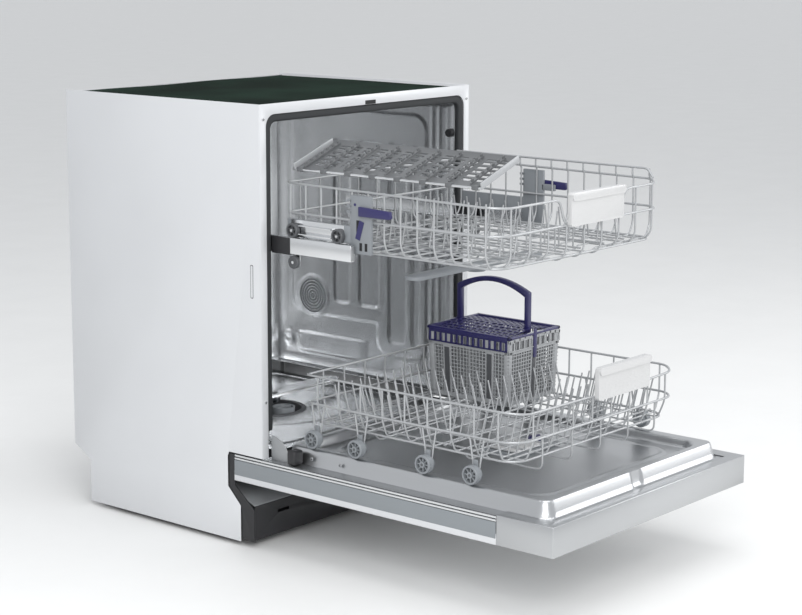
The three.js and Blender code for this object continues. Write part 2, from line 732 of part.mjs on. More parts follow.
place("circulation_pump", circulationPump(), GREY, [-140, 170, 60]);
place("water_softener", softener(), GREY, [150, 330, 18]);
place("lower_spray_arm", sprayArm(196, 40, 7, 12), STEEL, [0, SUMP_Y, TUB_FLOOR + 26]);
place("ceiling_spray_arm", sprayArm(60, 30, 5, 6), STEEL, [0, 250, TUB_CEILING - 16]);

place("door_panel", doorPanel(), WHITE);
place("control_fascia", fascia(), STEEL);
place("door_liner", liner(), STEEL);
place("dispenser_body", dispenserBody(), GREY, [DISPENSER_X, DISPENSER_Y, TRACK_Z - LINER_DEEP + GAP]);
place("dispenser_lid", dispenserLid(), PALE, [DISPENSER_X - 20, DISPENSER_Y, TRACK_Z - LINER_DEEP + 5.8]);
place("rinse_aid_cap", rinseCap(), NAVY, [DISPENSER_X + 42, DISPENSER_Y, TRACK_Z - LINER_DEEP + 5.8]);
const arm = hingeArm();
const armX = HALF - FRAME_FACE - 0.5;
place("hinge_arm_left", arm, GALVANISED, [-armX, HINGE_Y, DOOR_FLANGE_Z + GAP]);
place("hinge_arm_right", arm, GALVANISED, [armX - 1.5, HINGE_Y, DOOR_FLANGE_Z + GAP]);
const buttonNames = ["button_power", "button_start"];
BUTTON_X.forEach((x, i) => {
  place(buttonNames[i], button(), BLACK, [x, BUTTON_Y, DOOR_SKIN_Z]);
});

place("upper_rack", upperRack(), NYLON);
place("upper_spray_arm", sprayArm(190, 38, 6, 8), NYLON, [0, UPPER_ARM_Y, UPPER_FLOOR_Z - 48]);
for (const side of [-1, 1]) {
  const word = side < 0 ? "left" : "right";
  const flip = (body) => (side > 0 ? body : body.mirror([1, 0, 0]));
  place(`rail_${word}`, flip(rail().mirror([1, 0, 0]).translate([RAIL_X + RAIL_WIDTH, 0, 0])), STEEL,
    [0, -RAIL_OUT, 0]);
  place(`carrier_${word}`, flip(carrier().translate([CARRIER_INNER, 0, 0])), GREY, [0, UPPER_REAR_Y - 8, 0]);
  const rollerZ = RAIL_TOP_Z + ROLLER_R + GAP;
  const rollerY = [UPPER_REAR_Y - 28, UPPER_REAR_Y - 135];
  place(`roller_rear_${word}`, flip(roller()), BLACK, [side * (RAIL_X + 4), rollerY[0], rollerZ]);
  place(`roller_front_${word}`, flip(roller()), BLACK, [side * (RAIL_X + 4), rollerY[1], rollerZ]);
  place(`height_lever_${word}`, flip(lever().translate([CARRIER_INNER + 6.4, 0, 0])), NAVY,
    [0, UPPER_REAR_Y - 180, UPPER_MID_Z + 28]);
}
const shelf = place("cup_shelf", cupShelf(), GREY, [-RACK_HALF - 2, UPPER_REAR_Y - 14, UPPER_RIM_Z + 22]);
shelf.rotation.y = THREE.MathUtils.degToRad(-SHELF_TILT);
place("upper_rack_handle", rackHandle(160), PALE, [25, UPPER_REAR_Y - RACK_LENGTH - 6.6, UPPER_RIM_Z - 26]);

place("lower_rack", lowerRack(), NYLON);
wheelSpots().forEach((y, i) => {
  for (const side of [-1, 1]) {
    const word = side < 0 ? "left" : "right";
    const body = side > 0 ? wheel() : wheel().mirror([1, 0, 0]);
    place(`wheel_${word}_${i + 1}`, body, GREY, [side * WHEEL_X, y, WHEEL_Z]);
  }
});
place("lower_rack_handle", rackHandle(160), PALE, [53, LOWER_REAR_Y - RACK_LENGTH - 6.6, LOWER_RIM_Z + 16]);
place("cutlery_basket", basket(), GREY, [BASKET_X, BASKET_Y, LOWER_FLOOR_Z + WIRE / 2 + GAP]);
place("basket_lid", basketLid(), NAVY, [BASKET_X, BASKET_Y, LOWER_FLOOR_Z + WIRE / 2 + 2 * GAP + BASKET_H]);

export default machine;
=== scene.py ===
# %% [markdown]
# # A built-in dishwasher, standing open
# The machine arrives as plain solids that already sit in the right place. Blender's job is the look:
# pressed steel, coated wire, moulded plastic. Most pieces are placed from the solids' own boxes. Small
# fittings and the pressings of the sheets are given in millimetres.

# %% Load the frame
import json
import math

import bmesh
import bpy
from mathutils import Matrix, Vector


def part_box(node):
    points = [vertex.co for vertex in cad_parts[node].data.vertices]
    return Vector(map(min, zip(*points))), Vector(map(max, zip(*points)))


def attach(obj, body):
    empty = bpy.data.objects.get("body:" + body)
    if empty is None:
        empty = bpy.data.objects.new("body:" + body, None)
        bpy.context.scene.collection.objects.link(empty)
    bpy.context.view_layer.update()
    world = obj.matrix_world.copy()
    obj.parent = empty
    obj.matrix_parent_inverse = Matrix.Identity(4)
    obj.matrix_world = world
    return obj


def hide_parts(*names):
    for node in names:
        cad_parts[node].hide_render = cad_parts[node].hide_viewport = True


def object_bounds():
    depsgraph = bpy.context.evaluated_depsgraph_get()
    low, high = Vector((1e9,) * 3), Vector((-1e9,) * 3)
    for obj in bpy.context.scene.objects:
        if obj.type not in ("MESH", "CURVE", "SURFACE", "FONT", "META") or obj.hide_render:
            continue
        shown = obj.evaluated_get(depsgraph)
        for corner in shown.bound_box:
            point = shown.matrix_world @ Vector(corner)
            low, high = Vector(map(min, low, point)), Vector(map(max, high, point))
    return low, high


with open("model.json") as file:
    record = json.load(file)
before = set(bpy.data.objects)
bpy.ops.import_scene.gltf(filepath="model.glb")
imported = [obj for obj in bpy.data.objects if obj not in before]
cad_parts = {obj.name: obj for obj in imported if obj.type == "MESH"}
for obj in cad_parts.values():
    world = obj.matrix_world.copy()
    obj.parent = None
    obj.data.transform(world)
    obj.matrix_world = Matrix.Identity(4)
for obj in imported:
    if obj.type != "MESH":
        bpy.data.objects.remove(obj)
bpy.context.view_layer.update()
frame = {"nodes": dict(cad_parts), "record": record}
MM = 0.001
nodes = frame["nodes"]

# %% [markdown]
# A few places are used again and again: the face of the cabinet, the inside of the tub, the two racks
# and the lowered door. They are read from the solids, so these follow if the design changes.

# %% Named places
frame_low, frame_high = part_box("front_frame")
tub_low, tub_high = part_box("tub")
liner_low, liner_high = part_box("door_liner")
fascia_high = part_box("control_fascia")[1]
skin_low, skin_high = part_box("door_panel")
top_low, top_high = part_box("upper_rack")
bottom_low, bottom_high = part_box("lower_rack")
FACE_Y = frame_low.y
HALF_W = frame_high.x
TUB_LINING = 6 * MM  # from the tub's outer box to the face of its walls, floor and ceiling
SHEET_GAP = 1 * MM  # a pressed sheet stands this far in front of the plain wall behind it
TUB_WALL = tub_high.x - TUB_LINING
TUB_BACK = tub_high.y - 1.5 * MM
FLOOR_Z = tub_low.z + TUB_LINING
TRACK_Z = liner_high.z
print("front face at y", round(FACE_Y, 3), "tub wall at x", round(TUB_WALL, 3))

# %% [markdown]
# ## Finishes
# Each finish is one small node tree. The recipe is the same every time: a Principled shader with its
# fixed values on its own sockets, a noise that varies the roughness or colour a little, and a bump for
# the surface grain. The noise reads Object coordinates in metres, so its scale is real.


# %% A recipe for finishes
def finish(name, color, rough, metal=0.0, grain=400.0, stretch=(1, 1, 1), bump=0.08, vary=0.12,
           tint=0.06, **sockets):
    material = bpy.data.materials.new(name)
    material.use_nodes = True
    tree = material.node_tree
    shader = tree.nodes["Principled BSDF"]
    shader.inputs["Metallic"].default_value = metal
    for socket, value in sockets.items():
        shader.inputs[socket.replace("_", " ")].default_value = value
    place = tree.nodes.new("ShaderNodeTexCoord")
    mapping = tree.nodes.new("ShaderNodeMapping")
    mapping.inputs["Scale"].default_value = stretch
    noise = tree.nodes.new("ShaderNodeTexNoise")
    noise.inputs["Scale"].default_value = grain
    noise.inputs["Detail"].default_value = 3
    cloud = tree.nodes.new("ShaderNodeTexNoise")
    cloud.inputs["Scale"].default_value = 6
    spread = tree.nodes.new("ShaderNodeMapRange")
    spread.inputs["To Min"].default_value = max(rough - vary, 0.03)
    spread.inputs["To Max"].default_value = min(rough + vary, 1.0)
    ramp = tree.nodes.new("ShaderNodeValToRGB")
    ramp.color_ramp.elements[0].position = 0.3
    ramp.color_ramp.elements[1].position = 0.7
    ramp.color_ramp.elements[0].color = [c * (1 - tint) for c in color] + [1]
    ramp.color_ramp.elements[1].color = [min(c * (1 + tint), 1) for c in color] + [1]
    relief = tree.nodes.new("ShaderNodeBump")
    relief.inputs["Strength"].default_value = bump
    relief.inputs["Distance"].default_value = 0.0004
    link = tree.links.new
    link(place.outputs["Object"], mapping.inputs["Vector"])
    link(mapping.outputs["Vector"], noise.inputs["Vector"])
    link(place.outputs["Object"], cloud.inputs["Vector"])
    link(cloud.outputs["Fac"], ramp.inputs["Fac"])
    link(noise.outputs["Fac"], spread.inputs["Value"])
    link(noise.outputs["Fac"], relief.inputs["Height"])
    link(ramp.outputs["Color"], shader.inputs["Base Color"])
    link(spread.outputs["Result"], shader.inputs["Roughness"])
    link(relief.outputs["Normal"], shader.inputs["Normal"])
    return material


ENAMEL = finish("white enamel", (0.62, 0.63, 0.645), 0.36, 0.15, 900, bump=0.03, tint=0.01)
SKIN = finish("side sheet", (0.66, 0.67, 0.685), 0.42, 0.25, 700, bump=0.04, tint=0.015)
# STEEL and the door's copy below are one stainless steel in two shades. The tub's copy is lighter, painted light
# for walls that reflect the dark inside of the tub; the door's copy is darker, painted shade for the tray that
# the lamps light strongly.
STEEL = finish("tub steel", (0.72, 0.73, 0.74), 0.24, 1.0, 300, (1, 1, 0.1), bump=0.0, vary=0.02,
               tint=0.01)
SHADED_DOOR_STEEL = finish("door steel painted darker", (0.54, 0.55, 0.56), 0.3, 1.0, 300, (1, 0.1, 1), bump=0.0, vary=0.02,
               tint=0.01)
BRUSHED = finish("brushed fascia", (0.52, 0.53, 0.54), 0.32, 1.0, 90, (0.6, 22, 22), bump=0.06, vary=0.08,
                 tint=0.02)
POLISHED = finish("rolled rail steel", (0.74, 0.75, 0.76), 0.18, 1.0, 120, (9, 1, 9), bump=0.03,
                  vary=0.05)
ZINC = finish("zinc sheet", (0.36, 0.37, 0.38), 0.45, 0.7, 160, bump=0.08, tint=0.08)
BLACK = finish("black moulding", (0.018, 0.018, 0.02), 0.5, 0.0, 1200, bump=0.12)
RUBBER = finish("seal rubber", (0.02, 0.022, 0.024), 0.7, 0.0, 900, bump=0.1)
FELT = finish("damping felt", (0.006, 0.015, 0.010), 0.95, 0.0, 700, bump=0.9, tint=0.4,
              Specular_IOR_Level=0.05)
GREY = finish("grey moulding", (0.215, 0.23, 0.245), 0.42, 0.0, 1000, bump=0.08, tint=0.03)
DARK_GREY = finish("dark grey moulding", (0.075, 0.078, 0.084), 0.45, 0.0, 1000, bump=0.08)
GREY_LIGHT = finish("light grey moulding", (0.36, 0.37, 0.38), 0.36, 0.1, 1000, bump=0.06,
                    tint=0.03)
GRAPHITE = finish("graphite moulding", (0.115, 0.12, 0.125), 0.4, 0.0, 900, bump=0.08, tint=0.04)
NAVY = finish("navy moulding", (0.022, 0.020, 0.095), 0.36, 0.0, 1000, bump=0.06, Coat_Weight=0.15)
PALE = finish("silver handle", (0.60, 0.60, 0.60), 0.3, 0.25, 1100, bump=0.05, tint=0.02,
              Coat_Weight=0.2)
BAND = finish("door band grey", (0.25, 0.27, 0.285), 0.42, 0.3, 700, bump=0.04, tint=0.02)
COATED = finish("nylon coated wire", (0.40, 0.41, 0.42), 0.33, 0.35, 500, bump=0.06, tint=0.05,
                Coat_Weight=0.2)
# Near-black sheet laid over recesses, slots and openings: painted shade standing in for their dark insides.
RECESS_SHADE = finish("painted recess shade", (0.006, 0.006, 0.007), 0.6)
print("finishes:", len(bpy.data.materials))

# %% [markdown]
# ## From a bmesh to a piece
# Every new piece takes the same last steps: give it a finish, smooth its faces but keep its creases,
# let it ride on a moving body, and say which plain solid it stands for.


# %% Making pieces
def smooth_by_angle(mesh, degrees=35):
    mesh.polygons.foreach_set("use_smooth", [True] * len(mesh.polygons))
    mesh.set_sharp_from_angle(angle=math.radians(degrees))


def piece(name, bm, material, body, stands_for=(), fresh_normals=True, degrees=35):
    if fresh_normals:
        bmesh.ops.remove_doubles(bm, verts=bm.verts, dist=1e-6)
        bmesh.ops.recalc_face_normals(bm, faces=bm.faces)
    mesh = bpy.data.meshes.new(name)
    bm.to_mesh(mesh)
    bm.free()
    smooth_by_angle(mesh, degrees)
    mesh.materials.append(material)
    obj = bpy.data.objects.new(name, mesh)
    bpy.context.scene.collection.objects.link(obj)
    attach(obj, body)
    if stands_for:
        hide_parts(*stands_for)
    return obj


def bevel(bm, edges, width, segments=2):
    bmesh.ops.bevel(bm, geom=edges, offset=width, segments=segments, affect="EDGES", profile=0.5,
                    material=-1, clamp_overlap=True)


def add_box(bm, low, high, round_by=0.0, segments=2, matrix=Matrix()):
    low, high = Vector(low), Vector(high)
    grow = Matrix.Diagonal((*(high - low), 1))
    place = matrix @ Matrix.Translation((low + high) / 2) @ grow
    made = bmesh.ops.create_cube(bm, size=1, matrix=place)["verts"]
    if round_by:
        edges = {e for v in made for e in v.link_edges}
        bevel(bm, list(edges), round_by, segments)


def add_rod(bm, a, b, radius, sides=12, end_radius=None):
    a, b = Vector(a), Vector(b)
    turn = (b - a).to_track_quat("Z", "Y").to_matrix().to_4x4()
    bmesh.ops.create_cone(bm, cap_ends=True, segments=sides, radius1=radius,
                          radius2=radius if end_radius is None else end_radius, depth=(b - a).length,
                          matrix=Matrix.Translation((a + b) / 2) @ turn)


# %% [markdown]
# ## Soft edges on the plain solids
# A real sheet or moulding never ends in a perfect corner; the small radius catches a line of light.
# Most solids only need that, so one helper copies a solid, welds its loose triangles, dissolves the
# flat ones and bevels what is left. Bevelling by angle was chosen over a modifier because the flat
# faces are cleaned first, which keeps the highlights even.


# %% Refining a solid
def refined(node, body, material, width=0.0006, segments=2, angle=32):
    source = nodes[node].data
    bm = bmesh.new()
    bm.from_mesh(source)
    bmesh.ops.remove_doubles(bm, verts=bm.verts, dist=1e-5)
    bmesh.ops.dissolve_limit(bm, angle_limit=math.radians(1), verts=bm.verts, edges=bm.edges)
    sharp = [e for e in bm.edges
             if len(e.link_faces) == 2 and e.calc_face_angle(0) > math.radians(angle)]
    bevel(bm, sharp, width, segments)
    return piece("fine_" + node, bm, material, body, [node], fresh_normals=False)


owner = {node: body for body, parts in frame["record"]["behaviour"]["bodies"].items() for node in parts}
PLAIN_PARTS = [
    ("side_panel_left", SKIN, 0.0005), ("side_panel_right", SKIN, 0.0005), ("front_frame", ENAMEL, 0.0005),
    ("door_seal", RUBBER, 0.003), ("rear_panel", ZINC, 0.0005), ("base_pan", BLACK, 0.001),
    ("toe_plate", BLACK, 0.0008), ("sill_plate", ZINC, 0.0008), ("latch_socket", BLACK, 0.0008),
    ("hinge_bracket_left", BLACK, 0.0008), ("hinge_bracket_right", BLACK, 0.0008), ("sump", DARK_GREY, 0.0008),
    ("filter_cup", GREY, 0.0008), ("circulation_pump", DARK_GREY, 0.002), ("water_softener", GREY, 0.003),
    ("lower_spray_arm", STEEL, 0.0025), ("ceiling_spray_arm", STEEL, 0.002), ("upper_spray_arm", GREY, 0.002),
    ("door_panel", ENAMEL, 0.0012), ("control_fascia", BRUSHED, 0.0016), ("dispenser_body", GREY, 0.001),
    ("dispenser_lid", PALE, 0.0015), ("rinse_aid_cap", NAVY, 0.001), ("hinge_arm_left", ZINC, 0.0004),
    ("hinge_arm_right", ZINC, 0.0004), ("button_power", BLACK, 0.0006), ("button_start", BLACK, 0.0006),
    ("height_lever_left", NAVY, 0.0012), ("height_lever_right", NAVY, 0.0012),
    ("foot_front_left", BLACK, 0.001), ("foot_front_right", BLACK, 0.001),
    ("foot_rear_left", BLACK, 0.001), ("foot_rear_right", BLACK, 0.001),
    ("rail_left", POLISHED, 0.0006), ("rail_right", POLISHED, 0.0006),
]
for node, material, width in PLAIN_PARTS:
    refined(node, owner[node], material, width)
print("refined solids:", len(PLAIN_PARTS))

# %% [markdown]
# ## The tub
# The tub is drawn from thin stainless sheet. Its walls carry pressed panels and channels that stiffen
# it, and those soft steps are what makes it read as steel. A wall starts as a fine flat grid, and each
# vertex is pushed in or out by a smooth step at the edge of each pressing. Boolean cuts would leave
# hard edges, which pressed sheet doesn't have.


# %% Pressings
def inside(a, b, low_a, high_a, low_b, high_b, radius):
    """Distance from a rounded rectangle's edge: negative inside it."""
    mid_a, mid_b = (low_a + high_a) / 2, (low_b + high_b) / 2
    da = abs(a - mid_a) - ((high_a - low_a) / 2 - radius)
    db = abs(b - mid_b) - ((high_b - low_b) / 2 - radius)
    outside = math.hypot(max(da, 0), max(db, 0))
    return outside + min(max(da, db), 0) - radius


def step(distance, soft):
    """1 well inside, 0 well outside, with a rounded shoulder between."""
    t = min(max(0.5 - distance / soft, 0), 1)
    return t * t * (3 - 2 * t)


def pressed_sheet(bm, origin, u, v, across, along, cells_u, cells_v, lift):
    """A grid that spans two edges from origin and is lifted along the sheet's normal."""
    made = bmesh.ops.create_grid(bm, x_segments=cells_u, y_segments=cells_v, size=0.5)["verts"]
    normal = Vector(u).cross(Vector(v)).normalized()
    for vertex in made:
        a = (vertex.co.x + 0.5) * across
        b = (vertex.co.y + 0.5) * along
        vertex.co = Vector(origin) + Vector(u) * a + Vector(v) * b + normal * lift(a, b)
    return made


# %% [markdown]
# The right wall shows everything: the large raised field with its rounded lower edge, three vertical
# channels, the round boss of the vent, the ledge above the wheel track and the folds next to the
# opening. The left wall is its mirror image without the vent.

# %% Tub walls
WALL_FRONT = tub_low.y
WALL_DEPTH = TUB_BACK - WALL_FRONT
LEDGE_Z = TRACK_Z
CEILING_Z = tub_high.z - TUB_LINING
WALL_TALL = CEILING_Z - LEDGE_Z


def wall_relief(with_vent):
    def lift(depth, rise):
        y = depth / MM + 13
        z = rise / MM + 200.5
        field = min(inside(y, z, 84, 452, 312, 752, 34), inside(y, z, 84, 214, 246, 700, 34))
        out = 1.6 * step(field, 7)
        for low, high, foot in ((290, 333, 344), (210, 264, 344), (137, 183, 276), (101, 121, 276)):
            out -= 2.4 * step(inside(y, z, low, high, foot, 690, 12), 6)
        out += 2.2 * step(inside(y, z, 240, 436, 226, 268, 5), 6) * min(1.0, (y - 236) / 30)
        out += 2.0 * step(math.hypot(y - 466, z - 250) - 16, 8)
        if with_vent:
            out += 1.4 * step(math.hypot(y - 393, z - 350) - 45, 5)
        for fold in (30, 52, 70):
            out += 1.3 * step(abs(y - fold) - 3.5, 5)
        edge = min(y - 13, 500 - y, z - 200.5, 789 - z)
        corner = max(0.0, 1 - edge / 22)
        return (out * (1 - corner) + 4.0 * corner * corner) * MM
    return lift


for side, word in ((1, "right"), (-1, "left")):
    bm = bmesh.new()
    start = (side * (TUB_WALL - SHEET_GAP), WALL_FRONT, LEDGE_Z)
    relief = wall_relief(side > 0)
    toward_middle = (lambda a, b: -side * relief(a, b))
    pressed_sheet(bm, start, (0, 1, 0), (0, 0, 1), WALL_DEPTH, WALL_TALL, 170, 200, toward_middle)
    if side > 0:
        bmesh.ops.reverse_faces(bm, faces=bm.faces)
    wall = piece(f"tub_wall_{word}", bm, STEEL, "cabinet", fresh_normals=False, degrees=180)
    print(wall.name, len(wall.data.polygons), "faces")

# %% [markdown]
# The back wall is pressed in the same way, with two channels on each side. The floor falls towards the
# drain, where its cells are deleted so that the filter shows.


# %% Back wall and floor
def back_relief(a, b):
    x = a / MM - 272
    z = b / MM + 172
    out = 1.8 * step(inside(abs(x), z, 60, 246, 240, 750, 26), 8)
    for low, high in ((84, 128), (150, 194)):
        out -= 2.4 * step(inside(abs(x), z, low, high, 270, 720, 14), 7)
    edge = min(272 - abs(x), 789 - z)
    corner = max(0.0, 1 - edge / 26)
    return (out * (1 - corner) + 5 * corner * corner) * MM


def floor_relief(a, b):
    x = a / MM - 246
    y = b / MM + 13
    away = math.hypot(x, y - 265)
    dish = 5 * min(1, max(0, away - 70) / 130)
    ring = 1.6 * step(abs(away - 150) - 4, 7)
    border = 2 * step(abs(inside(x, y, -225, 225, 40, 480, 40)) - 3, 6)
    return (dish + ring + border) * MM


bm = bmesh.new()
pressed_sheet(bm, (-TUB_WALL, TUB_BACK - SHEET_GAP, FLOOR_Z), (1, 0, 0), (0, 0, 1), 2 * TUB_WALL,
              CEILING_Z - tub_low.z - TUB_LINING, 150, 150, back_relief)
piece("tub_back_wall", bm, STEEL, "cabinet", fresh_normals=False, degrees=180)

sump_low, sump_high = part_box("sump")
sump_mid = (sump_low + sump_high) / 2
DRAIN_R = 66 * MM
LEDGE_WIDE = 26 * MM
bm = bmesh.new()
pressed_sheet(bm, (-TUB_WALL + LEDGE_WIDE, WALL_FRONT, FLOOR_Z + 0.6 * MM), (1, 0, 0), (0, 1, 0),
              2 * TUB_WALL - 2 * LEDGE_WIDE, WALL_DEPTH, 150, 140, floor_relief)
over_drain = [f for f in bm.faces if (f.calc_center_median().xy - sump_mid.xy).length < DRAIN_R]
bmesh.ops.delete(bm, geom=over_drain, context="FACES")
floor_sheet = piece("tub_floor", bm, STEEL, "cabinet", fresh_normals=False, degrees=180)
print("floor faces", len(floor_sheet.data.polygons))

# %% [markdown]
# The walls so far are single sheets. The solid tub stays behind them as the body of the tub: its outer
# side closes the cabinet from behind, and its two ledges carry the wheels of the lower rack.

# %% Tub body
tub_body = refined("tub", "cabinet", STEEL, 0.001, 2)
print("tub body", len(tub_body.data.polygons), "faces")

# %% [markdown]
# ## The lowered door
# The inner liner is one deep drawing: a flat flange, a raised rim that the rack's wheels run on, and a
# recessed tray. It is pressed from a grid in the same way as the tub walls, with softer shoulders.

# %% Door liner
TRAY_FRONT = liner_low.y + 1 * MM
TRAY_BACK = FACE_Y - 20 * MM
FLANGE_Z = TRACK_Z - 28.5 * MM


def liner_relief(a, b):
    x = a / MM - 295
    y = b / MM
    tray_len = (TRAY_BACK - TRAY_FRONT) / MM
    rim = inside(x, y, -267, 267, 9, tray_len, 26)
    tray = inside(x, y, -237, 237, 34, tray_len - 24, 34)
    up = 28.3 * step(rim + 4, 11) - 14.5 * step(tray + 3, 13)
    up += 2.2 * step(abs(inside(x, y, -200, 200, 70, tray_len - 60, 40)) - 4, 8)
    notch = step(inside(x, y, -15, 15, -4, 16, 3), 5)
    return up * (1 - 0.8 * notch) * MM


bm = bmesh.new()
pressed_sheet(bm, (-HALF_W + 4 * MM, TRAY_FRONT - 1 * MM, FLANGE_Z), (1, 0, 0), (0, 1, 0),
              2 * HALF_W - 8 * MM, FACE_Y + 7 * MM - TRAY_FRONT, 200, 210, liner_relief)
RIM_SIDE = 268.5 * MM
before_fascia = [f for f in bm.faces if f.calc_center_median().y < fascia_high.y
                 and abs(f.calc_center_median().x) > RIM_SIDE]
bmesh.ops.delete(bm, geom=before_fascia, context="FACES")
rim_edges = [e for e in bm.edges if e.is_boundary]
skirt = bmesh.ops.extrude_edge_only(bm, edges=rim_edges)["geom"]
skirt_verts = [v for v in skirt if isinstance(v, bmesh.types.BMVert)]
for vertex in skirt_verts:
    over_skin = vertex.co.y > fascia_high.y - 2 * MM
    vertex.co.z = skin_high.z + 0.8 * MM if over_skin else FLANGE_Z - 2 * MM
liner_piece = piece("pressed_liner", bm, SHADED_DOOR_STEEL, "door", ["door_liner"], degrees=50)
print("liner", [round(c, 4) for c in liner_piece.dimensions])

# %% [markdown]
# From the side, the door is a sandwich: a pale skin below, a broad grey band, and two thin bright folds
# under the liner. A few thin strips on each flank show those layers. A black block closes the corner
# next to each hinge.

# %% Door flanks
# label, lower and upper edge above the skin's underside and how far it stands out (mm), finish
LAYERS = [("band", 11, 39, 0.3, BAND), ("fold", 40, 43.6, -0.4, STEEL), ("upper_fold", 45.4, 49, -0.9, STEEL)]
for side, word in ((1, "r"), (-1, "l")):
    for label, z_low, z_high, proud, material in LAYERS:
        x_in, x_out = side * (HALF_W - 1.8 * MM), side * (HALF_W + proud * MM)
        bm = bmesh.new()
        add_box(bm, (min(x_in, x_out), fascia_high.y + 1 * MM, skin_low.z + z_low * MM),
                (max(x_in, x_out), skin_high.y - 1 * MM, skin_low.z + z_high * MM), 0.3 * MM, 2)
        piece(f"door_{label}_{word}", bm, material, "door")
    bm = bmesh.new()
    x_pair = sorted((side * 269 * MM, side * 294.5 * MM))
    add_box(bm, (x_pair[0], FACE_Y - 74 * MM, FLANGE_Z + 0.6 * MM),
            (x_pair[1], FACE_Y - 54 * MM, TRACK_Z - 1 * MM), 5 * MM, 3)
    piece(f"corner_block_{word}", bm, BLACK, "door")
print("door flanks done")

# %% [markdown]
# ## Wire
# Both racks are bent and welded wire, dipped in nylon. A bent wire is a curve with a round section, so
# each one is a poly curve whose corners are rounded with short arcs. All the wires of one rack become a
# single mesh. Curves were chosen over extruded circles because they keep the section round in a bend.


# %% Bending wire
def bent(points, radius, turns=4):
    """The points with each inner corner replaced by an arc-like curve."""
    points = [Vector(p) for p in points]
    route = [points[0]]
    for before, corner, after in zip(points, points[1:], points[2:]):
        reach = min(radius, (corner - before).length * 0.45, (after - corner).length * 0.45)
        enter = corner + (before - corner).normalized() * reach
        leave = corner + (after - corner).normalized() * reach
        for i in range(turns + 1):
            t = i / turns
            route.append(enter.lerp(corner, t).lerp(corner.lerp(leave, t), t))
    return route + [points[-1]]


def wire_mesh(name, runs, material, body, stands_for=(), sides=2):
    """runs: (points, wire diameter, bend radius, closed)"""
    total = bmesh.new()
    by_size = {}
    for points, size, radius, closed in runs:
        by_size.setdefault(size, []).append((points, radius, closed))
    for size, group in by_size.items():
        curve = bpy.data.curves.new(name, "CURVE")
        curve.dimensions = "3D"
        curve.bevel_depth = size / 2
        curve.bevel_resolution = sides
        curve.use_fill_caps = True
        for points, radius, closed in group:
            if closed:
                points = [(Vector(points[0]) + Vector(points[-1])) / 2, *points,
                          (Vector(points[0]) + Vector(points[-1])) / 2]
            route = bent(points, radius)
            if closed:
                route = route[:-1]
            spline = curve.splines.new("POLY")
            spline.points.add(len(route) - 1)
            spline.use_cyclic_u = closed
            for slot_point, p in zip(spline.points, route):
                slot_point.co = (*p, 1)
        holder = bpy.data.objects.new(name + "_curve", curve)
        bpy.context.scene.collection.objects.link(holder)
        solid = holder.evaluated_get(bpy.context.evaluated_depsgraph_get())
        mesh = bpy.data.meshes.new_from_object(solid)
        total.from_mesh(mesh)
        bpy.data.objects.remove(holder)
        bpy.data.curves.remove(curve)
        bpy.data.meshes.remove(mesh)
    return piece(name, total, material, body, stands_for, fresh_normals=False, degrees=60)


def spaced(count, first, last):
    return [first + (last - first) * i / (count - 1) for i in range(count)]


# %% [markdown]
# ### Upper rack
# The rim is a thick wire that dips in front for the handle. The right side carries a second, higher
# rail on stepped uprights. Cross wires run down one side, along the floor and up the other side, and
# the floor is stepped: low in the middle for cups, high at the sides.

# %% Upper rack wires
RIM = 4.4 * MM
FINE = 3.4 * MM
TINE = 3.0 * MM
uh_low, uh_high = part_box("upper_rack_handle")


def rim_loop(x0, x1, y0, y1, z, cut):
    return [(x0, y1, z), (x0, y0 + cut, z), (x0 + cut, y0, z),
            (x1 - cut, y0, z), (x1, y0 + cut, z), (x1, y1, z)]


UX = top_high.x - 3.6 * MM
UY0 = top_low.y + 3.6 * MM
UY1 = top_high.y - 2.2 * MM
URIM = top_high.z - 3 * MM
UMID = URIM - 54 * MM
UFLOOR = URIM - 110 * MM
runs = []
dip = uh_low.z + 4 * MM
hx0, hx1 = uh_low.x - 4 * MM, uh_high.x + 4 * MM
runs.append(([(-UX, UY1, URIM), (-UX, UY0 + 24 * MM, URIM - 6 * MM), (-UX + 26 * MM, UY0, URIM - 8 * MM),
              (hx0 - 16 * MM, UY0, URIM - 8 * MM), (hx0, UY0, dip), (hx1, UY0, dip),
              (hx1 + 16 * MM, UY0, URIM - 8 * MM), (UX - 26 * MM, UY0, URIM - 8 * MM),
              (UX, UY0 + 24 * MM, URIM - 4 * MM), (UX, UY1, URIM), (UX - 30 * MM, UY1, URIM),
              (-UX + 30 * MM, UY1, URIM)], RIM, 14 * MM, True))
runs.append((rim_loop(-UX, UX, UY0, UY1, UMID, 24 * MM), RIM, 14 * MM, True))
runs.append((rim_loop(-UX + 12 * MM, UX - 12 * MM, UY0 + 10 * MM, UY1 - 8 * MM, UFLOOR, 20 * MM),
             RIM, 12 * MM, True))
raised = URIM + 15 * MM
runs.append(([(UX - 4 * MM, UY1, raised), (UX - 4 * MM, UY0 + 30 * MM, raised),
              (UX - 20 * MM, UY0 + 8 * MM, raised - 14 * MM)], RIM, 10 * MM, False))
for y in spaced(13, UY0 + 26 * MM, UY1 - 8 * MM):
    runs.append(([(UX - 4 * MM, y, raised), (UX - 4 * MM, y, raised - 14 * MM), (UX, y, raised - 20 * MM),
                  (UX, y, UFLOOR + 22 * MM), (UX - 12 * MM, y, UFLOOR),
                  (70 * MM, y, UFLOOR), (60 * MM, y, UFLOOR - 6 * MM), (-60 * MM, y, UFLOOR - 6 * MM),
                  (-70 * MM, y, UFLOOR), (-UX + 12 * MM, y, UFLOOR), (-UX, y, UFLOOR + 22 * MM),
                  (-UX, y, URIM)], FINE, 9 * MM, False))
for x in spaced(9, -UX + 34 * MM, UX - 34 * MM):
    in_handle = hx0 < x < hx1
    front_top = dip if in_handle else URIM - 8 * MM
    drop = UFLOOR - (6 * MM if abs(x) < 62 * MM else 0)
    runs.append(([(x, UY0, front_top), (x, UY0, drop + 16 * MM), (x, UY0 + 14 * MM, drop),
                  (x, UY1 - 14 * MM, drop), (x, UY1, drop + 16 * MM), (x, UY1, URIM)], FINE, 10 * MM, False))
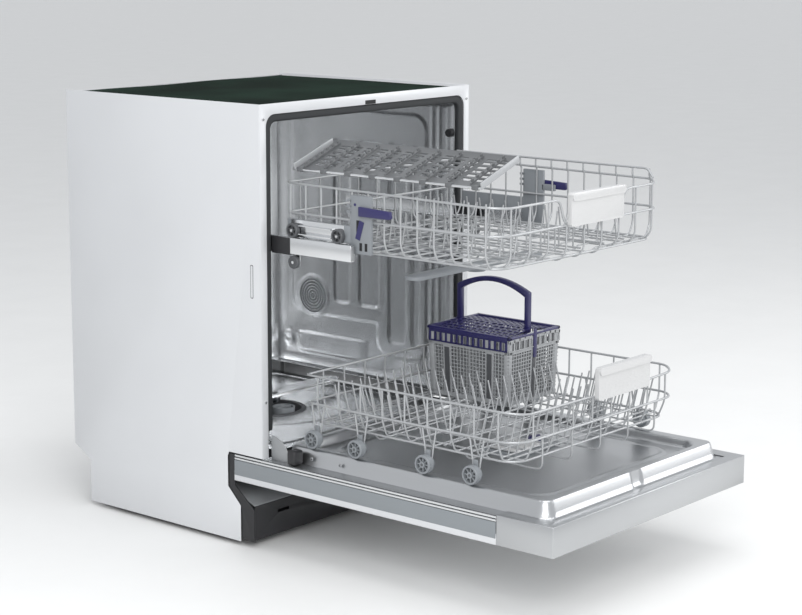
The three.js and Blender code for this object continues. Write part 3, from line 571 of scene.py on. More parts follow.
for x, lean, tall in ((-150 * MM, 9 * MM, 46 * MM), (-96 * MM, -9 * MM, 46 * MM), (-30 * MM, 0, 40 * MM),
                      (24 * MM, 0, 40 * MM), (96 * MM, 9 * MM, 52 * MM), (160 * MM, -9 * MM, 52 * MM)):
    runs.append(([(x, UY0 + 24 * MM, UFLOOR + 5 * MM), (x, UY1 - 20 * MM, UFLOOR + 5 * MM)],
                 FINE, 1 * MM, False))
    for y in spaced(14, UY0 + 40 * MM, UY1 - 34 * MM):
        runs.append(([(x, y, UFLOOR + 3 * MM), (x + lean, y, UFLOOR + tall)], TINE, 1 * MM, False))
hub_y = (UY0 + UY1) / 2
for x in (-34 * MM, 34 * MM):
    runs.append(([(x, hub_y - 40 * MM, UFLOOR - 4 * MM), (x * 0.5, hub_y - 16 * MM, UFLOOR - 30 * MM),
                  (x * 0.5, hub_y + 16 * MM, UFLOOR - 30 * MM), (x, hub_y + 40 * MM, UFLOOR - 4 * MM)],
                 FINE, 8 * MM, False))
upper_wires = wire_mesh("upper_rack_wires", runs, COATED, "top_rack", ["upper_rack"])
print("upper rack wires:", len(runs), "faces:", len(upper_wires.data.polygons))

# %% [markdown]
# ### Lower rack
# Lower and wider, with two rails round the sides, a tray of cross wires narrower than the rim, rows of
# plate tines that lean to the rear, and U-shaped wire feet between the wheels.

# %% Lower rack wires
LX = UX
LY0 = bottom_low.y + 3.6 * MM
LY1 = bottom_high.y - 3 * MM
LRIM = bottom_high.z - 3 * MM
LMID = LRIM - 51 * MM
LFLOOR = LRIM - 88 * MM
lh_low, lh_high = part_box("lower_rack_handle")
bk_low, bk_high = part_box("cutlery_basket")
runs = []
lhx0, lhx1 = lh_low.x - 4 * MM, lh_high.x + 4 * MM
runs.append(([(-LX, LY1, LRIM), (-LX, LY0 + 26 * MM, LRIM), (-LX + 26 * MM, LY0, LRIM - 4 * MM),
              (lhx0 - 10 * MM, LY0, LRIM - 6 * MM), (lhx0 + 8 * MM, LY0, LRIM - 8 * MM),
              (lhx1 - 8 * MM, LY0, LRIM - 8 * MM), (lhx1 + 10 * MM, LY0, LRIM - 6 * MM),
              (LX - 26 * MM, LY0, LRIM - 4 * MM), (LX, LY0 + 26 * MM, LRIM), (LX, LY1, LRIM),
              (LX - 26 * MM, LY1 + 1 * MM, LRIM), (-LX + 26 * MM, LY1 + 1 * MM, LRIM)], RIM, 18 * MM, True))
runs.append((rim_loop(-LX, LX, LY0, LY1, LMID, 26 * MM), RIM, 16 * MM, True))
base_x = LX - 14 * MM
runs.append((rim_loop(-base_x, base_x, LY0 + 14 * MM, LY1 - 14 * MM, LFLOOR, 22 * MM), RIM, 14 * MM, True))
for y in spaced(9, LY0 + 40 * MM, LY1 - 26 * MM):
    runs.append(([(-LX, y, LRIM), (-LX, y, LMID - 4 * MM), (-base_x, y, LFLOOR), (base_x, y, LFLOOR),
                  (LX, y, LMID - 4 * MM), (LX, y, LRIM)], FINE, 10 * MM, False))
for x in spaced(8, -base_x + 30 * MM, base_x - 30 * MM):
    runs.append(([(x, LY0, LRIM - 6 * MM), (x, LY0, LMID - 4 * MM), (x, LY0 + 14 * MM, LFLOOR),
                  (x, LY1 - 14 * MM, LFLOOR), (x, LY1, LMID - 4 * MM), (x, LY1, LRIM)], FINE, 10 * MM, False))


def over_basket(x, y):
    return bk_low.x - 8 * MM < x < bk_high.x + 8 * MM and bk_low.y - 8 * MM < y < bk_high.y + 8 * MM


for row, y in enumerate(spaced(7, LY0 + 46 * MM, LY1 - 52 * MM)):
    lean = 17 * MM if row > 2 else -15 * MM
    runs.append(([(-base_x + 6 * MM, y, LFLOOR + 5 * MM), (base_x - 6 * MM, y, LFLOOR + 5 * MM)],
                 FINE, 1 * MM, False))
    for x in spaced(19, -base_x + 22 * MM, base_x - 22 * MM):
        if not over_basket(x, y):
            runs.append(([(x, y, LFLOOR + 4 * MM), (x, y + lean, LFLOOR + 68 * MM)], TINE, 1 * MM, False))
for x in spaced(5, -base_x + 60 * MM, base_x - 60 * MM):
    runs.append(([(x, LY0 + 2 * MM, LMID), (x, LY0 + 2 * MM, LFLOOR - 20 * MM),
                  (x, LY0 + 118 * MM, LFLOOR - 20 * MM), (x, LY0 + 132 * MM, LFLOOR)],
                 FINE, 14 * MM, False))
for y in (LY0 + 120 * MM, LY1 - 150 * MM):
    for x in (-base_x, base_x - 70 * MM):
        runs.append(([(x, y, LFLOOR), (x + 12 * MM, y, LFLOOR - 12 * MM), (x + 58 * MM, y, LFLOOR - 12 * MM),
                      (x + 70 * MM, y, LFLOOR)], FINE, 8 * MM, False))
for node in [n for n in nodes if n.startswith("wheel_")]:
    low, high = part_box(node)
    mid = (low + high) / 2
    x = math.copysign(LX - 1 * MM, mid.x)
    for back in (-7 * MM, 7 * MM):
        runs.append(([(x, mid.y + back * 2.2, LMID), (x, mid.y + back, mid.z + 14 * MM),
                      (x, mid.y + back * 0.6, mid.z)], FINE, 6 * MM, False))
lower_wires = wire_mesh("lower_rack_wires", runs, COATED, "bottom_rack", ["lower_rack"])
print("lower rack wires:", len(runs), "faces:", len(lower_wires.data.polygons))

# %% [markdown]
# ### Wheels and rollers
# A rack wheel is a hard ring on eight thin spokes with a stepped hub, and a rail's roller has five. The
# ring's section is spun round the axle, which gives the rounded tread in one step.


# %% Wheels
def spun(bm, section, centre, axis, steps=40):
    """section: points (across the axle, out from it)"""
    side = Vector(axis)
    out = Vector((0, 0, 1))
    verts = [bm.verts.new(Vector(centre) + side * a + out * r) for a, r in section]
    edges = [bm.edges.new((p, q)) for p, q in zip(verts, verts[1:] + verts[:1])]
    bmesh.ops.spin(bm, geom=verts + edges, cent=centre, axis=axis, angle=math.tau, steps=steps, use_merge=True)


def wheel(node, body, material, spokes):
    low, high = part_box(node)
    mid = (low + high) / 2
    radius = (high.z - low.z) / 2
    wide = high.x - low.x
    outward = math.copysign(1, mid.x)
    bm = bmesh.new()
    w = wide / 2
    rim = radius - 3.6 * MM
    spun(bm, [(-w, rim), (-w, radius - 0.8 * MM), (-w + 0.8 * MM, radius), (w - 0.8 * MM, radius),
              (w, radius - 0.8 * MM), (w, rim)], mid, (1, 0, 0))
    hub = radius * 0.34
    add_rod(bm, mid - Vector((w, 0, 0)), mid + Vector((w - 0.6 * MM, 0, 0)), hub, 20)
    add_rod(bm, mid + Vector((outward * (w - 1 * MM), 0, 0)),
            mid + Vector((outward * (w + 0.3 * MM), 0, 0)), hub * 0.55, 14, hub * 0.45)
    add_rod(bm, mid - Vector((outward * w * 0.5, 0, 0)), mid - Vector((outward * w * 0.3, 0, 0)),
            rim + 0.4 * MM, 30)
    for i in range(spokes):
        turn = Matrix.Rotation(math.tau * i / spokes, 4, "X")
        add_box(bm, (-w * 0.55, -1.1 * MM, hub * 0.7), (w * 0.72, 1.1 * MM, rim + 0.5 * MM),
                matrix=Matrix.Translation(mid) @ turn)
    return piece("fine_" + node, bm, material, body, [node], degrees=30)


wheel_names = [n for n in nodes if n.startswith("wheel_")]
roller_names = [n for n in nodes if n.startswith("roller_")]
for node in wheel_names:
    wheel(node, owner[node], GREY, 8)
for node in roller_names:
    wheel(node, owner[node], DARK_GREY, 5)
print("wheels:", len(wheel_names), "rollers:", len(roller_names))

# %% [markdown]
# Behind each wheel sits the hub that clips on to the wires, a slightly smaller disc on the rack itself.

# %% Wheel holders
for node in wheel_names:
    low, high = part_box(node)
    mid = (low + high) / 2
    side = math.copysign(1, mid.x)
    inner_face = mid.x - side * (high.x - low.x) / 2
    bm = bmesh.new()
    near = Vector((inner_face - side * 0.5 * MM, mid.y, mid.z))
    far = Vector((inner_face - side * 7 * MM, mid.y, mid.z))
    add_rod(bm, near, far, 13.4 * MM, 32, 12 * MM)
    x_pair = sorted((near.x - side * 1.5 * MM, far.x + side * 1 * MM))
    add_box(bm, (x_pair[0], mid.y - 5 * MM, mid.z), (x_pair[1], mid.y + 5 * MM, mid.z + 24 * MM), 1.4 * MM)
    piece("holder_" + node, bm, GREY, "bottom_rack")
print("wheel holders:", len(wheel_names))

# %% [markdown]
# A pin's head sits in the middle of each wheel and roller: bright on the rollers, grey on the wheels.

# %% Pins
for node in wheel_names + roller_names:
    low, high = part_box(node)
    mid = (low + high) / 2
    outward = math.copysign(1, mid.x)
    reach = (high.x - low.x) / 2
    bm = bmesh.new()
    add_rod(bm, mid + Vector((outward * (reach - 1 * MM), 0, 0)),
            mid + Vector((outward * (reach + 0.9 * MM), 0, 0)), 3 * MM, 16, 2.2 * MM)
    piece("pin_" + node, bm, POLISHED if node in roller_names else DARK_GREY, owner[node])
print("pins:", len(wheel_names + roller_names))

# %% [markdown]
# Each rail starts in a dark sleeve at the opening. Above it a bright folded plate joins the two rollers,
# and a third roller sits under the rail, where it stops a loaded rack from tipping. The carrier is a
# frame with steps for the rack's height, a slanted catch and a few slots, painted on as flat dark shade.

# %% Rail fittings
rl_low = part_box("rail_left")[0]
ro_low, ro_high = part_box("roller_rear_left")
front_low, front_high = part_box("roller_front_left")
PLATE_LOW, PLATE_HIGH = 582.5 * MM, 613 * MM  # the plate that joins the rollers
# x and z of the sleeve's inner, outer and lower walls, in mm
SLEEVE_WALLS = [(256.1, 256.8, 551, 580.6), (266.2, 267.2, 551, 580.6), (256.1, 267.2, 550.2, 551.6)]
for side, word in ((1, "right"), (-1, "left")):
    bm = bmesh.new()
    carrier_low, carrier_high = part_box("carrier_" + word)
    column = carrier_low.y + 48 * MM
    add_box(bm, (carrier_low.x, carrier_low.y, 566 * MM), (carrier_high.x, column, carrier_high.z), 1.2 * MM)
    add_box(bm, (carrier_low.x, carrier_low.y - 26 * MM, 630 * MM),
            (carrier_high.x, carrier_low.y + 4 * MM, 642 * MM), 1.2 * MM)
    add_box(bm, (carrier_low.x, column - 2 * MM, PLATE_LOW), (carrier_high.x, carrier_high.y, PLATE_HIGH),
            0.8 * MM)
    for step_z in (640, 650, 660):
        add_box(bm, (carrier_low.x, column - 4 * MM, (step_z - 4) * MM),
                (carrier_high.x, column + 8 * MM, step_z * MM), 0.6 * MM)
    piece("carrier_frame_" + word, bm, GREY, "top_rack", ["carrier_" + word])
    face_x = side * max(abs(carrier_low.x), abs(carrier_high.x))
    slant = Matrix.Rotation(math.radians(17), 4, "X")
    lean = Matrix.Translation((face_x, carrier_low.y + 20 * MM, 624 * MM)) @ slant
    bm = bmesh.new()
    add_box(bm, (-0.4 * MM, -5.5 * MM, -34 * MM), (0.4 * MM, 5.5 * MM, 0), 0.3 * MM, 1,
            Matrix.Translation((side * 0.8 * MM, 0, 0)) @ lean)
    add_rod(bm, (face_x - side * 1 * MM, column - 12 * MM, 652 * MM),
            (face_x + side * 0.8 * MM, column - 12 * MM, 652 * MM), 2.4 * MM, 16)
    piece("height_catch_" + word, bm, NAVY, "top_rack")
    # The slots are thin dark plates on the carrier's face: painted shade in place of openings.
    bm = bmesh.new()
    x_pair = sorted((face_x - side * 1 * MM, face_x + side * 0.4 * MM))
    for gap in (8, 20):
        add_box(bm, (x_pair[0], carrier_low.y + gap * MM, 572 * MM),
                (x_pair[1], carrier_low.y + (gap + 6) * MM, 586 * MM), 0.3 * MM, 1)
    add_box(bm, (x_pair[0], carrier_low.y + 26 * MM, 594 * MM),
            (x_pair[1], carrier_low.y + 33 * MM, 625 * MM), 0.3 * MM, 1)
    piece("carrier_slots_" + word, bm, RECESS_SHADE, "top_rack")
    bm = bmesh.new()
    for x_low, x_high, z_low, z_high in SLEEVE_WALLS:
        x_pair = sorted((side * x_low * MM, side * x_high * MM))
        add_box(bm, (x_pair[0], FACE_Y - 40 * MM, z_low * MM), (x_pair[1], FACE_Y + 3 * MM, z_high * MM),
                0.2 * MM, 1)
    piece(f"rail_sleeve_{word}", bm, BLACK, "cabinet")
    bm = bmesh.new()
    x_pair = sorted((side * 254.7 * MM, side * 256.3 * MM))
    add_box(bm, (x_pair[0], front_low.y + 4 * MM, PLATE_LOW), (x_pair[1], ro_high.y - 4 * MM, PLATE_HIGH),
            0.5 * MM, 2)
    x_pair = sorted((side * 255 * MM, side * 265 * MM))
    for fold_z in (603, 588):
        add_box(bm, (x_pair[0], front_high.y + 2 * MM, fold_z * MM),
                (x_pair[1], ro_low.y - 2 * MM, (fold_z + 2) * MM), 0.5 * MM, 2)
    piece(f"roller_plate_{word}", bm, POLISHED, "top_rack")
    low_mid = Vector((side * 261.5 * MM, ro_low.y + 11 * MM, 537 * MM))
    bm = bmesh.new()
    spun(bm, [(-4 * MM, 8 * MM), (-4 * MM, 10.6 * MM), (-3 * MM, 11.8 * MM), (3 * MM, 11.8 * MM),
              (4 * MM, 10.6 * MM), (4 * MM, 8 * MM)], low_mid, (1, 0, 0), 32)
    add_rod(bm, low_mid - Vector((3 * MM, 0, 0)), low_mid + Vector((3 * MM, 0, 0)), 8.2 * MM, 24)
    piece(f"under_roller_{word}", bm, DARK_GREY, "top_rack")
    bm = bmesh.new()
    add_rod(bm, low_mid - Vector((side * 8 * MM, 0, 0)), low_mid + Vector((side * 4.6 * MM, 0, 0)),
            2.8 * MM, 16)
    x_pair = sorted((side * 253.6, side * 255.4))
    add_box(bm, (x_pair[0] * MM, low_mid.y - 8 * MM, 530 * MM),
            (x_pair[1] * MM, low_mid.y + 8 * MM, 600 * MM), 0.4 * MM, 2)
    piece(f"under_roller_pin_{word}", bm, POLISHED, "top_rack")
    bm = bmesh.new()
    x_pair = sorted((side * 257.2 * MM, side * 265.8 * MM))
    add_box(bm, (x_pair[0], rl_low.y - 1.5 * MM, 553.5 * MM), (x_pair[1], rl_low.y + 9 * MM, 579.5 * MM),
            1.2 * MM, 2)
    piece(f"rail_cap_{word}", bm, ZINC, "rails")
print("rail fittings done")

# %% [markdown]
# ### Cup shelf
# The folding shelf is a thin moulded sheet with rows of slots, a turned-up lip and two pale end plates.
# It hinges on the left side of the upper rack. The slots are real openings, made by deleting whole
# cells of a grid and then giving the sheet its thickness.

# %% Cup shelf
sh_low, sh_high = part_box("cup_shelf")
tilt = math.radians(20)
shelf_width = 112 * MM
bm = bmesh.new()
inner = Vector((sh_low.x + 5 * MM, sh_low.y + 3 * MM, sh_low.z + 5 * MM))
shelf_long = sh_high.y - sh_low.y - 6 * MM
across_dir = Vector((math.cos(tilt), 0, math.sin(tilt)))
cells_x, cells_y = 22, 84
bmesh.ops.create_grid(bm, x_segments=cells_x, y_segments=cells_y, size=0.5)
cell_of = {}
for face in bm.faces:
    centre = face.calc_center_median()
    cell_of[face] = (int((centre.x + 0.5) * cells_x), int((centre.y + 0.5) * cells_y))
slots = [f for f, (i, j) in cell_of.items()
         if 2 < i < cells_x - 2 and i % 3 and j % 6 not in (0, 1) and 2 < j < cells_y - 3]
bmesh.ops.delete(bm, geom=slots, context="FACES")
for vertex in bm.verts:
    a = (vertex.co.x + 0.5) * shelf_width
    b = (vertex.co.y + 0.5) * shelf_long
    lip = 5 * MM * max(0, (a / shelf_width - 0.93) / 0.07)
    vertex.co = inner + across_dir * a + Vector((0, b, lip))
bmesh.ops.solidify(bm, geom=bm.faces[:], thickness=1.8 * MM)
for j in range(9):
    y = inner.y + shelf_long * (j + 0.5) / 9
    rib = Matrix.Translation((inner.x, y, inner.z + 2.6 * MM)) @ Matrix.Rotation(-tilt, 4, "Y")
    add_box(bm, (2 * MM, -1.6 * MM, 0), (shelf_width - 8 * MM, 1.6 * MM, 3.4 * MM), 0.6 * MM, 1, rib)
    for k in range(7):
        tooth = (6 + 15 * k) * MM
        add_box(bm, (tooth, -1.2 * MM, 2 * MM), (tooth + 6 * MM, 1.2 * MM, 8 * MM), 0.6 * MM, 1, rib)
shelf_piece = piece("cup_shelf_slotted", bm, GRAPHITE, "shelf", ["cup_shelf"], degrees=30)
bm = bmesh.new()
add_rod(bm, (sh_low.x + 5 * MM, sh_low.y + 1 * MM, sh_low.z + 4 * MM),
        (sh_low.x + 5 * MM, sh_high.y - 1 * MM, sh_low.z + 4 * MM), 2.2 * MM, 12)
piece("cup_shelf_rod", bm, POLISHED, "shelf")
bm = bmesh.new()
for y in spaced(8, sh_low.y + 8 * MM, sh_high.y - 24 * MM):
    add_box(bm, (sh_low.x + 0.6 * MM, y, sh_low.z + 0.2 * MM),
            (sh_low.x + 13 * MM, y + 13 * MM, sh_low.z + 9 * MM), 2.4 * MM)
piece("cup_shelf_clips", bm, GRAPHITE, "shelf")
bm = bmesh.new()
for y in (sh_low.y + 1 * MM, sh_high.y - 5 * MM):
    base = Vector((sh_low.x + 3 * MM, y, sh_low.z + 6 * MM))
    edge = base + across_dir * (shelf_width - 2 * MM)
    rib = Matrix.Translation(base) @ Matrix.Rotation(-tilt, 4, "Y")
    add_box(bm, (0, -1.2 * MM, -4 * MM), ((edge - base).length, 1.2 * MM, 8 * MM), 1 * MM, 2, rib)
piece("cup_shelf_ends", bm, GREY_LIGHT, "shelf")
print("shelf:", [round(c, 3) for c in shelf_piece.dimensions])

# %% [markdown]
# ### Handles
# The two rack handles are pale bars with rounded ends and a shallow finger hollow. The plain solids
# have that hollow already, so a wide bevel is enough.

# %% Handles
for node in ("upper_rack_handle", "lower_rack_handle"):
    refined(node, owner[node], PALE, 0.0022, 3)
    print(node, "rides on", owner[node])

# %% [markdown]
# ### Cutlery basket
# The basket is a moulded lattice: thin bars crossing at right angles between solid corners, with a
# navy strap down the end. The lattice is built as thin boxes in rows, which stays light and gives each
# bar its own edge. The whole lattice is then drawn in a little towards its foot.

# %% Basket body
x0, y0, z0 = bk_low
x1, y1, z1 = bk_high
bm = bmesh.new()
PANEL = 2.0 * MM
TAPER = 0.05


def tapered(bm):
    for vertex in bm.verts:
        shrink = 1 - TAPER * min(max((z1 - vertex.co.z) / (z1 - z0), 0), 1)
        vertex.co.x = mid_x + (vertex.co.x - mid_x) * shrink
        vertex.co.y = mid_y + (vertex.co.y - mid_y) * shrink
    return bm


mid_x = (x0 + x1) / 2
mid_y = (y0 + y1) / 2
levels = [(z0 + 1 * MM, 8 * MM), (z1 - 27 * MM, 6 * MM), (z1 - 5 * MM, 5 * MM)]
levels += [(z, 1.5 * MM) for z in spaced(12, z0 + 16 * MM, z1 - 32 * MM)]
for z, deep in levels:
    sunk = 0 if deep > 2 * MM else 0.3 * MM
    for low, high in (((x0 + sunk, y0 + sunk, z), (x1 - sunk, y0 + PANEL, z + deep)),
                      ((x0 + sunk, y1 - PANEL, z), (x1 - sunk, y1 - sunk, z + deep)),
                      ((x0 + sunk, y0 + sunk, z), (x0 + PANEL, y1 - sunk, z + deep)),
                      ((x1 - PANEL, y0 + sunk, z), (x1 - sunk, y1 - sunk, z + deep))):
        add_box(bm, low, high)
for x in spaced(19, x0 + 8 * MM, x1 - 10 * MM):
    for y in (y0 + 0.2 * MM, y1 - PANEL + 0.2 * MM):
        add_box(bm, (x, y, z0 + 1 * MM), (x + 1.8 * MM, y + 1.6 * MM, z1 - 1 * MM))
for y in spaced(24, y0 + 8 * MM, y1 - 10 * MM):
    for x in (x0 + 0.2 * MM, x1 - PANEL + 0.2 * MM):
        add_box(bm, (x, y, z0 + 1 * MM), (x + 1.6 * MM, y + 1.8 * MM, z1 - 1 * MM))
for x_low, x_high in ((x0, x0 + 14 * MM), (x1 - 14 * MM, x1)):
    for y_low, y_high in ((y0, y0 + 14 * MM), (y1 - 14 * MM, y1)):
        add_box(bm, (x_low, y_low, z0), (x_high, y_high, z1), 4 * MM, 3)
for y in (y0 - 0.1 * MM, y1 - PANEL + 0.1 * MM):
    add_box(bm, (mid_x - 9 * MM, y, z0), (mid_x + 9 * MM, y + PANEL, z1), 0.4 * MM, 1)
for x in (x0 - 0.1 * MM, x1 - PANEL + 0.1 * MM):
    for y in (y0 + 36 * MM, y1 - 56 * MM):
        add_box(bm, (x, y, z0 + 2 * MM), (x + PANEL, y + 20 * MM, z1), 0.4 * MM, 1)
for x in spaced(12, x0 + 5 * MM, x1 - 7 * MM):
    add_box(bm, (x, y0 + 1 * MM, z0 + 0.4 * MM), (x + 2 * MM, y1 - 1 * MM, z0 + 2.4 * MM))
for y in spaced(14, y0 + 5 * MM, y1 - 7 * MM):
    add_box(bm, (x0 + 1 * MM, y, z0 + 0.6 * MM), (x1 - 1 * MM, y + 2 * MM, z0 + 2.6 * MM))
for low, high in (((mid_x - 1 * MM, y0 + 2 * MM, z0), (mid_x + 1 * MM, y1 - 2 * MM, z1 - 8 * MM)),
                  ((x0 + 2 * MM, mid_y - 1 * MM, z0), (x1 - 2 * MM, mid_y + 1 * MM, z1 - 8 * MM))):
    add_box(bm, low, high, 0.4 * MM, 1)
basket_piece = piece("basket_lattice", tapered(bm), GREY_LIGHT, "basket", ["cutlery_basket"],
                     fresh_normals=False)
bm = bmesh.new()
for y in (y0 - 1.2 * MM, y1 - 0.4 * MM):
    for low_x, high_x, flip in ((x0, mid_x, 1), (mid_x, x1, -1)):
        add_box(bm, (low_x, y, z1 - 22 * MM), (high_x, y + 1.6 * MM, z1 - 20 * MM), 0.4 * MM, 1)
        for k in range(6):
            edge = low_x + (high_x - low_x) * k / 5
            wide = 4.2 * MM
            rise = 9 * MM * (1 - abs(edge - mid_x) / (mid_x - x0))
            at = min(max(edge - wide / 2, x0), x1 - wide)
            add_box(bm, (at, y, z1 - 21 * MM), (at + wide, y + 1.6 * MM, z1 + rise - 1 * MM), 0.5 * MM, 1)
        slope = math.atan2(9 * MM, mid_x - x0) * flip
        start_x = low_x if flip > 0 else mid_x
        start_z = z1 - 7 * MM if flip > 0 else z1 + 2 * MM
        lean = Matrix.Translation((start_x, y, start_z)) @ Matrix.Rotation(-slope, 4, "Y")
        add_box(bm, (0, 0, 0), ((high_x - low_x) * 1.004, 1.8 * MM, 7 * MM), 0.5 * MM, 1, lean)
piece("basket_ends", bm, GREY_LIGHT, "basket", fresh_normals=False)
# Thin dark grey strips laid on the outer faces along the grooves: painted shade in the grooves, which are not
# cut.
bm = bmesh.new()
for x in (x0 - 0.8 * MM, x1 - 0.4 * MM):
    for y in (y0 + 40 * MM, y1 - 52 * MM):
        add_box(bm, (x, y, z0 + 10 * MM), (x + 1.2 * MM, y + 12 * MM, z1 - 30 * MM), 0.5 * MM, 1)
add_box(bm, (mid_x - 5 * MM, y0 - 1.4 * MM, z0 + 6 * MM), (mid_x + 5 * MM, y0 + 0.4 * MM, z1 - 42 * MM), 0.8 * MM)
piece("basket_groove_shade", tapered(bm), DARK_GREY, "basket")
bm = bmesh.new()
add_box(bm, (mid_x - 5 * MM, y0 - 2 * MM, z1 - 42 * MM), (mid_x + 5 * MM, y0 + 0.4 * MM, z1 + 12 * MM), 1 * MM)
piece("basket_strap", bm, NAVY, "basket")
bm = bmesh.new()
for x in (x0 - 1.2 * MM, x1 - 0.6 * MM):
    add_box(bm, (x, y0 + 4 * MM, z1 - 4 * MM), (x + 1.8 * MM, y1 - 4 * MM, z1 + 3 * MM), 0.5 * MM, 1)
    add_box(bm, (x, y0 + 4 * MM, z1 - 22 * MM), (x + 1.8 * MM, y1 - 4 * MM, z1 - 19 * MM), 0.5 * MM, 1)
    for y in spaced(15, y0 + 4 * MM, y1 - 9 * MM):
        add_box(bm, (x, y, z1 - 21 * MM), (x + 1.8 * MM, y + 5 * MM, z1 - 2 * MM), 0.4 * MM, 1)
piece("basket_lid_skirts", bm, NAVY, "basket", fresh_normals=False)
print("basket faces", len(basket_piece.data.polygons))

# %% [markdown]
# The basket's lid is a navy tray of round holes with a low ridge along its middle. Each hole is the
# inner edge of one square cell, so the cells weld into a single sheet, which then gets its thickness.

# %% Basket lid
lid_low, lid_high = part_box("basket_lid")


def ring_hole(bm, centre, radius, half, sides=16):
    """One square cell of sheet with a round hole; neighbouring cells share their corners."""
    outer, hole = [], []
    for i in range(sides):
        angle = math.tau * (i + 0.5) / sides
        c, s = math.cos(angle), math.sin(angle)
        grow = half / max(abs(c), abs(s))
        outer.append(bm.verts.new(centre + Vector((c * grow, s * grow, 0))))
        hole.append(bm.verts.new(centre + Vector((c * radius, s * radius, 0))))
    for i in range(sides):
        j = (i + 1) % sides
        bm.faces.new((outer[i], outer[j], hole[j], hole[i]))


bm = bmesh.new()
pitch = 14.6 * MM
across = int((lid_high.x - lid_low.x - 12 * MM) / pitch)
along = int((lid_high.y - lid_low.y - 12 * MM) / pitch)
for i in range(across):
    for j in range(along):
        x = mid_x + (i - (across - 1) / 2) * pitch
        y = mid_y + (j - (along - 1) / 2) * pitch
        ring_hole(bm, Vector((x, y, lid_low.z + 2 * MM)), 5 * MM, pitch / 2)
bmesh.ops.remove_doubles(bm, verts=bm.verts, dist=3e-4)
for vertex in bm.verts:
    vertex.co.z += 10 * MM * (1 - abs(vertex.co.x - mid_x) / (lid_high.x - mid_x))
bmesh.ops.recalc_face_normals(bm, faces=bm.faces)
bmesh.ops.solidify(bm, geom=bm.faces[:], thickness=1.6 * MM)
BORDER = 8 * MM
border_low, border_high = lid_low.z + 0.4 * MM, lid_low.z + 6 * MM
for bx0, by0, bx1, by1 in ((lid_low.x, lid_low.y, lid_high.x, lid_low.y + BORDER),
                           (lid_low.x, lid_high.y - BORDER, lid_high.x, lid_high.y),
                           (lid_low.x, lid_low.y, lid_low.x + BORDER, lid_high.y),
                           (lid_high.x - BORDER, lid_low.y, lid_high.x, lid_high.y)):
    add_box(bm, (bx0, by0, border_low), (bx1, by1, border_high), 1.6 * MM)
piece("basket_lid_holed", bm, NAVY, "basket", ["basket_lid"], degrees=30)
print("lid holes:", across * along)

# %% [markdown]
# The carrying handle is navy too: two flat posts at the lid's ends, joined by a bar with a gentle arch.
# One strip of outline points, given width across the basket, makes all three.

# %% Basket handle
bm = bmesh.new()
HANDLE_THICK = 9 * MM
HANDLE_WIDE = 12 * MM
half_span = (lid_high.y - lid_low.y) / 2 - 14 * MM
post_top = lid_high.z - 22 * MM
outline = [(half_span, lid_low.z + 2 * MM)]
for i in range(15):
    t = 1 - 2 * i / 14
    outline.append((t * half_span, post_top + (lid_high.z - post_top - 0.5 * MM) * (1 - t * t)))
outline.append((-half_span, lid_low.z + 2 * MM))
rows = []
for y, z in outline:
    pull = 1 - HANDLE_THICK / half_span
    inner_z = max(lid_low.z + 2 * MM, z - HANDLE_THICK) if z > lid_low.z + 3 * MM else z
    rows.append([bm.verts.new((mid_x + dx, mid_y + k * y, zz)) for dx, k, zz in
                 ((-HANDLE_WIDE / 2, 1, z), (HANDLE_WIDE / 2, 1, z), (HANDLE_WIDE / 2, pull, inner_z),
                  (-HANDLE_WIDE / 2, pull, inner_z))])
for one, two in zip(rows, rows[1:]):
    for i in range(4):
        j = (i + 1) % 4
        bm.faces.new((one[i], one[j], two[j], two[i]))
bm.faces.new(rows[0])
bm.faces.new(rows[-1])
bmesh.ops.recalc_face_normals(bm, faces=bm.faces)
bevel(bm, [e for e in bm.edges if e.calc_face_angle(0) > math.radians(40)], 1.6 * MM, 2)
handle = piece("basket_handle", bm, NAVY, "basket", degrees=40)
print("basket handle", [round(c, 3) for c in handle.dimensions])

# %% [markdown]
# ## Cabinet fittings
# Screws, the side slots, the latch's mouth, the vent and the coil springs of the hinges are small, but
# they are the parts that give the machine its scale.


# %% Screws and slots
def screw(name, at, direction, radius, body, material=POLISHED):
    at, direction = Vector(at), Vector(direction)
    bm = bmesh.new()
    add_rod(bm, at - direction * 0.5 * MM, at + direction * 1.3 * MM, radius, 24, radius * 0.8)
    piece(name, bm, material, body)
    # The cross recess is a flat dark cross laid on the head: painted shade, not a cut.
    bm = bmesh.new()
    turn = direction.to_track_quat("Z", "Y").to_matrix().to_4x4()
    for angle in (0, math.pi / 2):
        add_box(bm, (-radius * 0.6, -0.35 * MM, 1.28 * MM), (radius * 0.6, 0.35 * MM, 1.36 * MM),
                matrix=Matrix.Translation(at) @ turn @ Matrix.Rotation(angle, 4, "Z"))
    piece(name + "_recess", bm, RECESS_SHADE, body)


toward_front = (0, -1, 0)
flange = HALF_W - 9 * MM
for index, (x, z) in enumerate(((-flange, 0.790), (flange, 0.790), (-flange, 0.278), (flange, 0.278))):
    screw(f"frame_screw_{index}", (x, FACE_Y, z), toward_front, 3.4 * MM, "cabinet")
